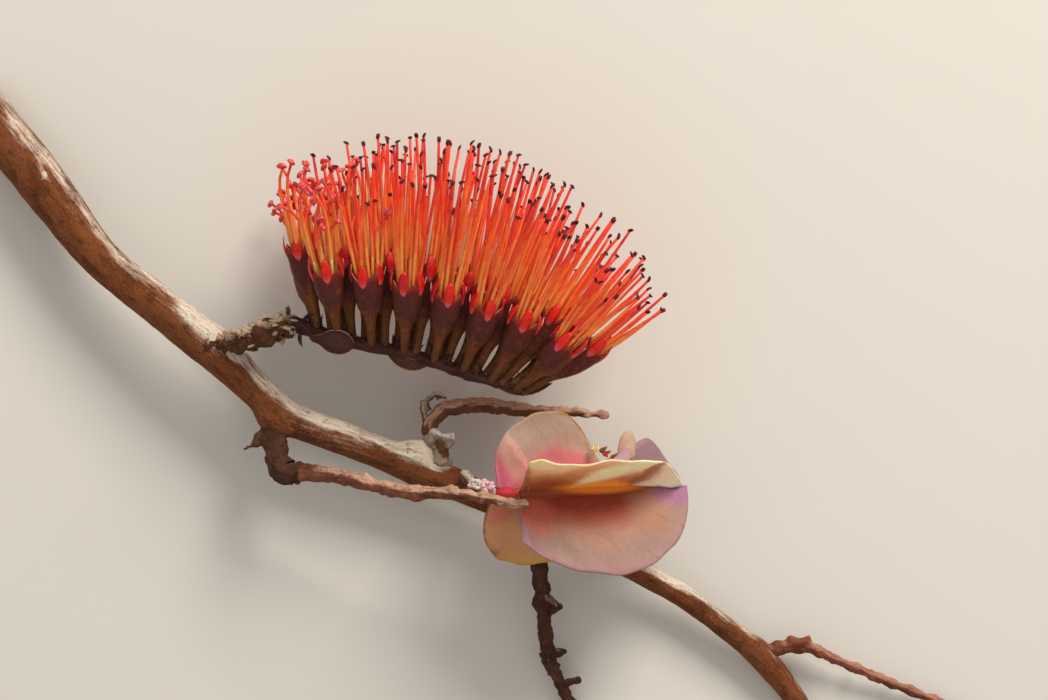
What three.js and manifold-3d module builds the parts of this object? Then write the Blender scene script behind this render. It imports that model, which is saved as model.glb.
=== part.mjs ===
// A cut branch of a combretum shrub: an arching woody stem with its side shoots, a one-sided
// brush of red flowers on a short spur, and a ripe fruit with five papery wings.
// Lengths are millimetres and angles are degrees. The branch lies on a level surface at Z = 0.
// +X runs from the thick cut end to the thin one, and +Y is the side that the flowers point to.
import * as THREE from "three";
import { mergeVertices } from "three/addons/utils/BufferGeometryUtils.js";
import Module from "manifold-3d";

const wasm = await Module();
wasm.setup();

// Driving dimensions

const CLEARANCE = 0.3; // left between a piece and the piece that carries it
const FOOTPRINT_MIDDLE = new THREE.Vector3(-10.88, -9.9, 0); // centre of the ground that the branch covers

// The woody stem, from the thick cut end to the thin one.
const STEM_ROUTE = [
  [-102.7, 47.6, 4.4],
  [-89.2, 31.3, 7.4],
  [-77.8, 17.1, 9.8],
  [-62.8, 4.9, 12.2],
  [-51.8, -4.6, 13.0],
  [-42.7, -12.2, 12.8],
  [-31.8, -16.6, 12.0],
  [-20.0, -21.6, 10.6],
  [-0.7, -30.0, 8.4],
  [25.2, -43.1, 5.6],
  [35.4, -50.0, 4.6],
  [44.7, -57.7, 3.6],
  [53.6, -69.3, 1.9],
];
const STEM_RADII = [4.7, 4.5, 3.6, 3.6, 3.1, 3.1, 2.9, 3.0, 2.5, 2.15, 2.0, 2.4, 1.8];

// Side shoots of the stem, each from inside the stem to its own tip.
const FLOWER_SPUR_ROUTE = [
  [-57.5, 1.1, 14.0],
  [-51.3, 1.6, 17.8],
  [-46.0, 3.2, 20.8],
  [-42.0, 4.8, 22.0],
];
const FLOWER_SPUR_RADII = [2.3, 1.8, 2.1, 1.4];
const SNAG_ROUTE = [
  [-46.0, -13.7, 13.0],
  [-48.6, -16.6, 13.8],
  [-50.8, -18.0, 14.4],
];
const SNAG_RADII = [1.5, 0.9, 0.25];
const LOWER_SHOOT_ROUTE = [
  [-44.7, -13.5, 13.2],
  [-44.9, -18.5, 15.2],
  [-43.4, -22.2, 17.4],
  [-40.2, -22.0, 19.0],
];
const LOWER_SHOOT_RADII = [2.2, 2.0, 2.2, 1.6];
const LOWER_TWIG_ROUTE = [
  [-39.7, -22.1, 19.3],
  [-33.0, -22.8, 21.8],
  [-22.1, -25.1, 25.6],
  [-11.3, -25.6, 28.6],
  [0.4, -27.4, 31.4],
];
const LOWER_TWIG_RADII = [1.55, 1.3, 1.2, 1.0, 0.45];
const UPPER_SHOOT_ROUTE = [
  [-15.0, -22.0, 10.2],
  [-15.2, -17.6, 11.2],
  [-17.4, -14.3, 11.4],
  [-15.0, -11.1, 11.2],
];
const UPPER_SHOOT_RADII = [1.4, 1.15, 1.6, 1.4];
const UPPER_SHOOT_STUBS = [
  { along: 0.06, toward: [-0.45, 0.85, 0.35], length: 6.0, radius: 1.15 },
  { along: 0.52, toward: [1, -0.2, 0.35], length: 3.6, radius: 0.9 },
];
const UPPER_TWIG_ROUTE = [
  [-14.3, -10.7, 11.2],
  [-8.1, -10.1, 11.0],
  [1.1, -11.2, 10.2],
  [8.8, -11.5, 9.6],
  [15.3, -12.1, 9.0],
];
const UPPER_TWIG_RADII = [1.4, 1.25, 1.05, 0.7, 0.4];
const CURLED_SHOOT_ROUTE = [
  [-17.8, -13.7, 10.6],
  [-18.4, -10.5, 9.6],
  [-16.5, -8.3, 9.0],
  [-14.5, -8.8, 8.6],
];
const CURLED_SHOOT_RADII = [0.7, 0.55, 0.5, 0.3];
const HANGING_TWIG_ROUTE = [
  [2.0, -32.4, 8.0],
  [3.1, -42.4, 6.8],
  [4.1, -53.7, 4.6],
  [5.4, -59.1, 3.2],
  [10.1, -69.0, 1.0],
];
const HANGING_TWIG_RADII = [1.7, 1.5, 1.15, 1.1, 0.95];
const HANGING_TWIG_STUBS = [
  { along: 0.36, toward: [1, -0.1, 0.15], length: 3.3, radius: 0.8 },
  { along: 0.62, toward: [1, 0.15, 0.1], length: 2.9, radius: 0.7 },
  { along: 0.7, toward: [-1, 0.25, 0.2], length: 2.0, radius: 0.8 },
  { along: 0.84, toward: [1, 0.3, 0.35], length: 3.6, radius: 0.6 },
];
const FORK_TWIG_ROUTE = [
  [44.6, -56.1, 3.6],
  [51.7, -54.9, 4.2],
  [58.3, -57.7, 3.8],
  [68.1, -61.9, 2.6],
  [84.3, -68.3, 0.8],
];
const FORK_TWIG_RADII = [1.3, 1.05, 0.8, 0.75, 0.7];

// The flower axis, and the florets that stand on it in four staggered rows.
const RACHIS_ROUTE = [
  [-41.4, 4.8, 22.2],
  [-33.2, 1.9, 22.2],
  [-24.8, 0.2, 22.2],
  [-16.4, -2.1, 22.2],
  [-8.0, -4.9, 22.2],
  [0.6, -7.8, 22.2],
];
const RACHIS_RADII = [1.3, 1.2, 1.15, 1.1, 1.05, 0.8];
const FLORET_ROWS = [
  { tilt: 32, count: 7, offset: 0.5 },
  { tilt: 10, count: 8, offset: 0 },
  { tilt: -10, count: 7, offset: 0.5 },
  { tilt: -32, count: 7, offset: 0 },
];
const ROW_SPACES = 7; // the spaces between florets in a full row
const ROW_START = 0.11; // where a row starts, as a share of the flower axis
const ROW_END = 0.97;
const ROW_SHIFT = 0.0007; // moves a row along by this share for each degree of its tilt
const ROW_CROWDING = 1.15; // above 1, a row's florets stand closer towards the tip
const FLORET_LENGTH = 15; // from the flower axis to the rim of the cup
const LEAN = { first: -10, gain: 34, late: 24 }; // from +Y towards +X, along the row
const BASE_LEAN = 16; // how much further a floret's foot leans at the tip
const FOOT_TILT = 1.45; // a floret's foot is tilted by this much of its row's tilt
const HEAD_TILT = 0.75; // its head is tilted by this much
const JITTER_ANGLE = 1.5;
const FLORET_SEED = 71;
const STAMEN_SHORT = 14.5; // beyond the rim, at the near end of the brush
const STAMEN_SLOPE = 2; // added by its tip
const STAMEN_GAIN = 9.3; // added in its middle
const STAMEN_POWER = 0.8;

// One floret. The profile is radius against height, from the foot to the dish in the cup.
const CUP_PROFILE = [
  [0, 0],
  [0.7, 0],
  [0.9, 5],
  [1.8, 8.4],
  [2.6, 11.6],
  [2.8, FLORET_LENGTH],
  [0, FLORET_LENGTH - 1.6],
];
const LOBES = 5;
const LOBE_HEIGHT = 1.9;
const LOBE_FLARE = 0.12;
const PETAL = { length: 4.6, width: 1.9, thick: 0.5, sunk: 0.7, ring: 2.5, splay: 4 };
const STAMENS = 6;
const STAMEN = { radius: 0.3, tip: 0.2, ring: 1.75, sunk: 2.6 };
const STAMEN_SPREAD = { least: 2.5, most: 8.5 }; // outwards from the floret's own line
const STAMEN_SCATTER = { turn: 0.7, shortest: 0.88, longest: 1.02 };
const ANTHER = { length: 1.5, radius: 0.42 };
const STAMEN_TRIES = 14; // directions tried before a stamen that has no room is left out

// A young ovary that hangs beside the flower axis without a flower.
const OVARY_FROM = [-38.4, 2.1, 24.1];
const OVARY_TO = [-30.2, -0.3, 24.5];
const OVARY_PROFILE = [
  [0, 0],
  [0.6, 0],
  [0.85, 2.6],
  [2.1, 6.0],
  [1.9, 8.2],
  [0.5, 9.3],
  [0, 9.3],
];

// The ripe fruit: a slim body whose wings stand round it.
const FRUIT_BASE = [-4.5, -25.5, 27.2];
const FRUIT_LENGTH = 30.5;
const FRUIT_RISE = 1.8; // how far its far end points towards +Y
const FRUIT_DROP = 19; // how far its far end points down
const FRUIT_BODY_RADIUS = 1.5;
const WING_THICK = 0.6;
const WING_ROOT = 0.84; // share of the body's length that each wing grows from
// Each wing: its turn round the body, how far it reaches, its half length, how far along that is
// shifted, and its curl. Its edge leans along the fruit, given for its near and its far end. Its
// outline is half an ellipse where its fullness is 1, and squarer below that, given at even spaces.
const WINGS = {
  front: {
    turn: 23,
    reach: 17.2,
    half: 14.8,
    shift: 5.2,
    curl: -1.2,
    leans: [-4.9, -9.1],
    fullness: [0.08, 0.2, 0.4, 0.55, 1.2],
  },
  upper: {
    turn: 90,
    reach: 14.8,
    half: 10,
    shift: -5.3,
    curl: -1.4,
    leans: [-1.2, 0.3],
    fullness: [0.4, 0.7, 1.2, 1.4, 1.1],
  },
  rear: {
    turn: 142,
    reach: 14,
    half: 5.2,
    shift: 14.8,
    curl: 0.8,
    leans: [4.6, 0.6],
    fullness: [0.45, 0.4, 1.2, 2.1, 2.3],
  },
  under: {
    turn: 232,
    reach: 19.4,
    half: 13.4,
    shift: -2.4,
    curl: -1.4,
    leans: [-4, -2],
    fullness: [0.5, 0.9, 1.2, 1.2, 1.1],
  },
  lower: {
    turn: 297,
    reach: 17.7,
    half: 16.2,
    shift: 4.5,
    curl: 1.5,
    leans: [-1.2, -1.7],
    fullness: [0.05, 0.75, 1.3, 0.85, 0.8],
  },
};
const WING_OVERHANG = 10; // the outline runs on this far past each end of the body
const WING_CLEAR = 1.1; // and stays this far from the fruit's own axis there
const FRUIT_STALK_ROUTE = [
  [-10.4, -24.6, 9.8],
  [-10.8, -22.8, 15.5],
  [-10.3, -22.7, 22.5],
  [-8.0, -24.8, 27.4],
  [-5.6, -25.3, 27.7],
];
const FRUIT_STALK_RADII = [1.0, 0.85, 0.75, 0.85, 0.65];

const MATERIALS = {
  bark: { color: 0x8a5c3c, roughness: 0.85 },
  rough_bark: { color: 0x7c5f4a, roughness: 0.95 },
  red_twig: { color: 0x8c5646, roughness: 0.8 },
  dark_twig: { color: 0x4a322c, roughness: 0.85 },
  flower_axis: { color: 0x3c2422, roughness: 0.6 },
  floret: { color: 0xd8452a, roughness: 0.5 },
  fruit: { color: 0xcf9a80, roughness: 0.6 },
};

// Tools for making solids

const radians = THREE.MathUtils.degToRad;
const vector = (point) => new THREE.Vector3(...point);

// Numbers from 0 to 1 in a fixed order.
function seeded(seed) {
  let state = seed;
  return () => {
    state = (state * 1664525 + 1013904223) % 4294967296;
    return state / 4294967296;
  };
}

// The unit vector that leans from +Y towards +X, and tilts up out of the ground plane.
function pointing(lean, tilt) {
  const a = radians(lean);
  const b = radians(tilt);
  return new THREE.Vector3(Math.sin(a) * Math.cos(b), Math.cos(a) * Math.cos(b), Math.sin(b));
}

// Two unit vectors square to a direction and to each other.
function across(direction) {
  const side = new THREE.Vector3().crossVectors(direction, new THREE.Vector3(0, 0, 1)).normalize();
  return [side, new THREE.Vector3().crossVectors(side, direction)];
}

// The value at a share of a list, eased straight between its entries.
function between(values, share) {
  const place = share * (values.length - 1);
  const low = Math.min(Math.floor(place), values.length - 2);
  return THREE.MathUtils.lerp(values[low], values[low + 1], place - low);
}

function smoothRoute(route) {
  return new THREE.CatmullRomCurve3(route.map(vector), false, "catmullrom", 0.5);
}

// A closed geometry with only its corners left, each shared by the faces that meet there.
function corners(geometry) {
  geometry.deleteAttribute("normal");
  geometry.deleteAttribute("uv");
  return mergeVertices(geometry);
}

// Moves each corner of a geometry to the place that a function gives for it.
function reshape(geometry, place) {
  const position = geometry.getAttribute("position");
  for (let i = 0; i < position.count; i++) {
    const to = place(position.getX(i), position.getY(i), position.getZ(i));
    position.setXYZ(i, to.x, to.y, to.z);
  }
  return geometry;
}

function solid(geometry) {
  return new wasm.Manifold(
    new wasm.Mesh({
      numProp: 3,
      vertProperties: new Float32Array(geometry.getAttribute("position").array),
      triVerts: new Uint32Array(geometry.index.array),
    }),
  );
}

function joined(solids) {
  return solids.reduce((whole, next) => whole.add(next));
}

// A round limb: a capped cylinder bent along a smooth route, with its radius eased along it.
// Growing it makes the room that a neighbour leaves round it.
function limb(route, radii, { sides = 8, steps = 12, grow = 0 } = {}) {
  const curve = smoothRoute(route);
  const { normals, binormals } = curve.computeFrenetFrames(steps);
  const cylinder = corners(new THREE.CylinderGeometry(1, 1, 1, sides, steps));
  return solid(
    reshape(cylinder, (x, y, z) => {
      const ring = Math.round((y + 0.5) * steps);
      const radius = between(radii, curve.getUtoTmapping(ring / steps)) + grow;
      const beyond = ring === 0 ? -grow : ring === steps ? grow : 0;
      return curve
        .getPointAt(ring / steps)
        .addScaledVector(curve.getTangentAt(ring / steps), beyond)
        .addScaledVector(normals[ring], x * radius)
        .addScaledVector(binormals[ring], -z * radius);
    }),
  );
}

// A lathe-turned solid whose own axis is then bent along a curve. Height 0 is the curve's start.
// A crown moves the corners near the rim: it gives a factor for the radius, and the new height.
function turned(profile, sides, curve, length, crown) {
  const points = profile.map(([radius, height]) => new THREE.Vector2(radius, height));
  const lathe = corners(new THREE.LatheGeometry(points, sides));
  return solid(
    reshape(lathe, (x, y, z) => {
      const [radial, height] = crown ? crown(Math.hypot(x, z), y, Math.atan2(x, z)) : [1, y];
      const share = THREE.MathUtils.clamp(height / length, 0, 1);
      const tangent = curve.getTangent(share);
      const [side, front] = across(tangent);
      return curve
        .getPoint(share)
        .addScaledVector(tangent, height - share * length)
        .addScaledVector(side, x * radial)
        .addScaledVector(front, z * radial);
    }),
  );
}

// Adds a solid to a group as a named mesh, whose own origin is the point that the piece grows from.
function addPiece(group, name, shape, material, origin) {
  const { vertProperties, triVerts } = shape.getMesh();
  const geometry = new THREE.BufferGeometry();
  geometry.setAttribute("position", new THREE.BufferAttribute(new Float32Array(vertProperties), 3));
  geometry.setIndex(new THREE.BufferAttribute(new Uint32Array(triVerts), 1));
  geometry.translate(...origin.map((value) => -value));
  geometry.computeVertexNormals();
  const finish = new THREE.MeshStandardMaterial({ ...MATERIALS[material], metalness: 0 });
  const mesh = new THREE.Mesh(geometry, finish);
  mesh.name = name;
  mesh.position.fromArray(origin);
  group.add(mesh);
}

// The stem and its side shoots

const wood = new THREE.Group();
const stemGrain = { sides: 10, steps: 34 };
const stemRoom = limb(STEM_ROUTE, STEM_RADII, { ...stemGrain, grow: CLEARANCE });
addPiece(wood, "stem", limb(STEM_ROUTE, STEM_RADII, stemGrain), "bark", STEM_ROUTE[0]);

function shootOnStem(route, radii, options) {
  return limb(route, radii, options).subtract(stemRoom);
}

// A short pointed stub that stands out of a twig.
function stub(route, { along, toward, length, radius }) {
  const foot = smoothRoute(route).getPoint(along);
  const tip = foot.clone().addScaledVector(vector(toward).normalize(), length);
  return limb([foot.toArray(), tip.toArray()], [radius, radius * 0.6], { sides: 5, steps: 2 });
}

function stubbedShoot(route, radii, stubs, options) {
  const shoot = limb(route, radii, options);
  return joined([shoot, ...stubs.map((each) => stub(route, each))]).subtract(stemRoom);
}

const upperShootRoom = limb(UPPER_SHOOT_ROUTE, UPPER_SHOOT_RADII, { steps: 9, grow: CLEARANCE });
const lowerShootRoom = limb(LOWER_SHOOT_ROUTE, LOWER_SHOOT_RADII, { steps: 8, grow: CLEARANCE });
const rachisRoom = limb(RACHIS_ROUTE, RACHIS_RADII, { steps: 14, grow: CLEARANCE });
const spur = shootOnStem(FLOWER_SPUR_ROUTE, FLOWER_SPUR_RADII, { steps: 8 }).subtract(rachisRoom);
const snag = shootOnStem(SNAG_ROUTE, SNAG_RADII, { sides: 6, steps: 4 }).subtract(lowerShootRoom);
const lowerShoot = shootOnStem(LOWER_SHOOT_ROUTE, LOWER_SHOOT_RADII, { steps: 8 });
const lowerTwig = limb(LOWER_TWIG_ROUTE, LOWER_TWIG_RADII, { steps: 12 }).subtract(lowerShootRoom);
const upperShoot = stubbedShoot(UPPER_SHOOT_ROUTE, UPPER_SHOOT_RADII, UPPER_SHOOT_STUBS, { steps: 9 });
const upperTwig = limb(UPPER_TWIG_ROUTE, UPPER_TWIG_RADII, { steps: 10 }).subtract(upperShootRoom);
const curledShoot = limb(CURLED_SHOOT_ROUTE, CURLED_SHOOT_RADII, { sides: 6, steps: 8 });
const hangingGrain = { sides: 7, steps: 12 };
const hangingTwig = stubbedShoot(HANGING_TWIG_ROUTE, HANGING_TWIG_RADII, HANGING_TWIG_STUBS, hangingGrain);
const forkTwig = shootOnStem(FORK_TWIG_ROUTE, FORK_TWIG_RADII, { steps: 12 });

addPiece(wood, "flower_spur", spur, "rough_bark", FLOWER_SPUR_ROUTE[0]);
addPiece(wood, "snag", snag, "rough_bark", SNAG_ROUTE[0]);
addPiece(wood, "lower_shoot", lowerShoot, "dark_twig", LOWER_SHOOT_ROUTE[0]);
addPiece(wood, "lower_twig", lowerTwig, "red_twig", LOWER_TWIG_ROUTE[0]);
addPiece(wood, "upper_shoot", upperShoot, "dark_twig", UPPER_SHOOT_ROUTE[0]);
addPiece(wood, "upper_twig", upperTwig, "dark_twig", UPPER_TWIG_ROUTE[0]);
addPiece(wood, "curled_shoot", curledShoot.subtract(upperShootRoom), "rough_bark", CURLED_SHOOT_ROUTE[0]);
addPiece(wood, "hanging_twig", hangingTwig, "dark_twig", HANGING_TWIG_ROUTE[0]);
addPiece(wood, "fork_twig", forkTwig, "red_twig", FORK_TWIG_ROUTE[0]);

// The flower axis and its florets

const flowerHead = new THREE.Group();
const rachisCurve = smoothRoute(RACHIS_ROUTE);
const rachis = limb(RACHIS_ROUTE, RACHIS_RADII, { steps: 14 });
addPiece(flowerHead, "flower_axis", rachis, "flower_axis", RACHIS_ROUTE[0]);

// Where each floret stands and points. The draws come in a fixed order.
function floretPlaces() {
  const random = seeded(FLORET_SEED);
  const jitter = () => (random() * 2 - 1) * JITTER_ANGLE;
  return FLORET_ROWS.flatMap(({ tilt, count, offset }) =>
    Array.from({ length: count }, (_, i) => {
      const share = (i + offset) / ROW_SPACES;
      const lean = LEAN.first + LEAN.gain * share + LEAN.late * share ** 4 + jitter();
      const rise = tilt + jitter();
      const spread = 1 - (1 - share) ** ROW_CROWDING;
      const along = THREE.MathUtils.lerp(ROW_START, ROW_END, spread) + tilt * ROW_SHIFT;
      const foot = rachisCurve.getPoint(along);
      const elbow = foot
        .clone()
        .addScaledVector(pointing(lean + BASE_LEAN * share, rise * FOOT_TILT), FLORET_LENGTH / 2);
      const upward = pointing(lean, rise * HEAD_TILT);
      const rim = elbow.clone().addScaledVector(upward, FLORET_LENGTH / 2);
      const arch = STAMEN_GAIN * Math.sin(Math.PI * share) ** STAMEN_POWER;
      const reach = STAMEN_SHORT + STAMEN_SLOPE * share + arch;
      return { upward, reach, foot, elbow, rim };
    }),
  );
}

// The rim's corners are drawn up by turns into five pointed lobes.
function lobedRim(radius, height, turn) {
  const onRim = height > FLORET_LENGTH - 0.5 && radius > 1;
  const lobe = Math.round((turn / (2 * Math.PI)) * LOBES * 2) % 2 === 1;
  return onRim && lobe ? [1 + LOBE_FLARE, height + LOBE_HEIGHT] : [1, height];
}

// A petal: a thin pointed blade, sunk into the rim between two lobes.
function petal({ rim, upward }, index) {
  const turn = (index / LOBES) * 2 * Math.PI;
  const [side, front] = across(upward);
  const outward = side.clone().multiplyScalar(Math.sin(turn)).addScaledVector(front, Math.cos(turn));
  const sideways = new THREE.Vector3().crossVectors(upward, outward);
  const splay = radians(PETAL.splay);
  const rise = upward.clone().multiplyScalar(Math.cos(splay)).addScaledVector(outward, Math.sin(splay));
  const facing = new THREE.Vector3().crossVectors(sideways, rise);
  const centre = rim
    .clone()
    .addScaledVector(outward, PETAL.ring)
    .addScaledVector(rise, PETAL.length / 2 - PETAL.sunk);
  const blade = corners(new THREE.SphereGeometry(1, 4, 2));
  return solid(
    reshape(blade, (x, y, z) =>
      centre
        .clone()
        .addScaledVector(rise, (x * PETAL.length) / 2)
        .addScaledVector(sideways, (z * PETAL.width) / 2)
        .addScaledVector(facing, (y * PETAL.thick) / 2),
    ),
  );
}

// The shortest distance between two straight stretches, sampled finely enough for thin rods.
function distanceBetween(one, two) {
  const line = new THREE.Line3(two.from, two.to);
  const nearest = new THREE.Vector3();
  const samples = 24;
  let least = Infinity;
  for (let i = 0; i <= samples; i++) {
    const point = one.from.clone().lerp(one.to, i / samples);
    line.closestPointToPoint(point, true, nearest);
    least = Math.min(least, point.distanceTo(nearest));
  }
  return least;
}

// The straight stamens of one floret, each clear of the ground and of every stamen before it.
function stamenLines(place, taken, random) {
  const [side, front] = across(place.upward);
  const lines = [];
  for (let i = 0; i < STAMENS; i++) {
    for (let attempt = 0; attempt < STAMEN_TRIES; attempt++) {
      const turn = ((i + (random() - 0.5) * STAMEN_SCATTER.turn) / STAMENS) * 2 * Math.PI;
      const spread = radians(THREE.MathUtils.lerp(STAMEN_SPREAD.least, STAMEN_SPREAD.most, random()));
      const share = THREE.MathUtils.lerp(STAMEN_SCATTER.shortest, STAMEN_SCATTER.longest, random());
      const length = place.reach * share;
      const outward = side.clone().multiplyScalar(Math.sin(turn)).addScaledVector(front, Math.cos(turn));
      const direction = place.upward
        .clone()
        .multiplyScalar(Math.cos(spread))
        .addScaledVector(outward, Math.sin(spread));
      const from = place.rim
        .clone()
        .addScaledVector(place.upward, -STAMEN.sunk)
        .addScaledVector(outward, STAMEN.ring);
      const line = { from, to: from.clone().addScaledVector(direction, length + STAMEN.sunk) };
      const room = 2 * ANTHER.radius + CLEARANCE;
      const clear = taken.every((other) => distanceBetween(line, other) > room);
      if (clear && line.to.z > ANTHER.radius) {
        lines.push(line);
        break;
      }
    }
  }
  return lines;
}

// A stamen: a thin three-sided rod that swells into its anther.
function stamen({ from, to }) {
  const length = from.distanceTo(to);
  const heights = [0, length - ANTHER.length * 0.6, length];
  const radii = [STAMEN.radius, ANTHER.radius, STAMEN.tip];
  const direction = to.clone().sub(from).normalize();
  const [side, front] = across(direction);
  const rod = corners(new THREE.CylinderGeometry(1, 1, 1, 3, heights.length - 1));
  return solid(
    reshape(rod, (x, y, z) => {
      const ring = Math.round((y + 0.5) * (heights.length - 1));
      return from
        .clone()
        .addScaledVector(direction, heights[ring])
        .addScaledVector(side, x * radii[ring])
        .addScaledVector(front, z * radii[ring]);
    }),
  );
}

function floret(place, lines) {
  const axis = new THREE.QuadraticBezierCurve3(place.foot, place.elbow, place.rim);
  const cup = turned(CUP_PROFILE, LOBES * 2, axis, FLORET_LENGTH, lobedRim);
  const petals = Array.from({ length: LOBES }, (_, i) => petal(place, i));
  return joined([cup, ...petals, ...lines.map(stamen)]).subtract(rachisRoom);
}

function addFlorets() {
  const random = seeded(FLORET_SEED + 1);
  const taken = [];
  floretPlaces().forEach((place, i) => {
    const lines = stamenLines(place, taken, random);
    taken.push(...lines);
    const name = `floret_${String(i + 1).padStart(2, "0")}`;
    addPiece(flowerHead, name, floret(place, lines), "floret", place.foot.toArray());
  });
}

addFlorets();

function youngOvary() {
  const from = vector(OVARY_FROM);
  const to = vector(OVARY_TO);
  const axis = new THREE.LineCurve3(from, to);
  return turned(OVARY_PROFILE, 8, axis, from.distanceTo(to)).subtract(rachisRoom);
}

addPiece(flowerHead, "young_ovary", youngOvary(), "flower_axis", OVARY_FROM);

// The fruit

function fruitFrame() {
  const rise = radians(FRUIT_RISE);
  const drop = radians(FRUIT_DROP);
  const along = new THREE.Vector3(
    Math.cos(rise) * Math.cos(drop),
    Math.sin(rise) * Math.cos(drop),
    -Math.sin(drop),
  );
  const up = new THREE.Vector3(0, 1, 0).addScaledVector(along, -along.y).normalize();
  const front = new THREE.Vector3().crossVectors(along, up);
  return { along, up, front };
}

// A wing: a thin plate whose flat grid is drawn out from the body to a rounded, curling edge.
function wing({ turn, reach, half, shift, curl, leans, fullness }, { along, up, front }) {
  const outward = front
    .clone()
    .multiplyScalar(Math.cos(radians(turn)))
    .addScaledVector(up, Math.sin(radians(turn)));
  const facing = new THREE.Vector3().crossVectors(along, outward);
  const plate = corners(new THREE.BoxGeometry(1, 1, 1, 10, 2, 1));
  const middle = FRUIT_LENGTH / 2;
  return solid(
    reshape(plate, (x, y, z) => {
      const share = x + 0.5;
      const depth = y + 0.5;
      const sweep = radians(-WING_OVERHANG + (180 + 2 * WING_OVERHANG) * share);
      const inner = (share - 0.5) * FRUIT_LENGTH * WING_ROOT;
      const full = Math.max(Math.sin(sweep), 0) ** between(fullness, share);
      const rise = Math.max(reach * full, WING_CLEAR);
      const height = depth * rise;
      const outer = shift - half * Math.cos(sweep) + (between(leans, share) * rise) / reach;
      const bend = curl * (height / reach) ** 2 * Math.cos(2 * sweep);
      return vector(FRUIT_BASE)
        .addScaledVector(along, middle + THREE.MathUtils.lerp(inner, outer, depth))
        .addScaledVector(outward, height)
        .addScaledVector(facing, bend + z * WING_THICK);
    }),
  );
}

function fruit() {
  const frame = fruitFrame();
  const base = vector(FRUIT_BASE);
  const axis = new THREE.LineCurve3(base, base.clone().addScaledVector(frame.along, FRUIT_LENGTH));
  const radius = FRUIT_BODY_RADIUS;
  const profile = [
    [0, 0],
    [radius * 0.5, 0],
    [radius, FRUIT_LENGTH * 0.2],
    [radius, FRUIT_LENGTH * 0.8],
    [radius * 0.4, FRUIT_LENGTH],
    [0, FRUIT_LENGTH],
  ];
  const body = turned(profile, 8, axis, FRUIT_LENGTH);
  return joined([body, ...Object.values(WINGS).map((each) => wing(each, frame))]);
}

const fruiting = new THREE.Group();
const fruitStalk = shootOnStem(FRUIT_STALK_ROUTE, FRUIT_STALK_RADII, { sides: 6, steps: 8 });
addPiece(fruiting, "fruit", fruit(), "fruit", FRUIT_BASE);
addPiece(fruiting, "fruit_stalk", fruitStalk, "fruit", FRUIT_STALK_ROUTE[0]);

// The whole branch

const branch = new THREE.Group();
branch.add(wood, flowerHead, fruiting);
branch.position.copy(FOOTPRINT_MIDDLE).negate();

export default branch;
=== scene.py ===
"""A cut combretum branch in flower, laid on a level floor, in the frame of its packed solids.

Routes, radii and sizes are millimetres in the source's layout, and placed() brings them to the frame.
"""

import math
import random
from dataclasses import dataclass

import bmesh
import bpy
from bpy.props import FloatProperty, FloatVectorProperty, IntProperty, PointerProperty
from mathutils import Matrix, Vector, noise


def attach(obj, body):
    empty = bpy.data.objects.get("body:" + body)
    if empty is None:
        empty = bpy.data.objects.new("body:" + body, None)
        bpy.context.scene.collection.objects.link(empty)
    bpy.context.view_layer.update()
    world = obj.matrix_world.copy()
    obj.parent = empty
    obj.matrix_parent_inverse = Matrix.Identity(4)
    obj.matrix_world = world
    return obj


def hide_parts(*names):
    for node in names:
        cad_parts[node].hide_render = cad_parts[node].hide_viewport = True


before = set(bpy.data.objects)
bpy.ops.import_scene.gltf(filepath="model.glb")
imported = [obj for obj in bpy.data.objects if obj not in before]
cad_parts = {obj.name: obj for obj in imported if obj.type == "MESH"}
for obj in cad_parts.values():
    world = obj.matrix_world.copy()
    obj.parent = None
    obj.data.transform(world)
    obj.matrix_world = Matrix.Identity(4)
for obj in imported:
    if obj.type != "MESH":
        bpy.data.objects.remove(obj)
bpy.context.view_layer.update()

bl_info = {
    "name": "Combretum Branch",
    "version": (1, 0, 0),
    "blender": (4, 5, 0),
    "location": "3D View > Sidebar > Branch",
    "description": "Builds a cut flowering combretum branch around its packed solids",
    "category": "Add Mesh",
}

MM = 0.001
LAYOUT_MIDDLE = Vector((-10.88, -9.9, 0.0))  # the point of the source's layout at the frame's origin
MERGE = 1e-7  # metres; corners that meet are this close
UP = Vector((0, 0, 1))


@dataclass
class Limb:
    """A limb: the points of its middle line, and its radius at each of them."""

    points: list
    radii: list


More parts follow.
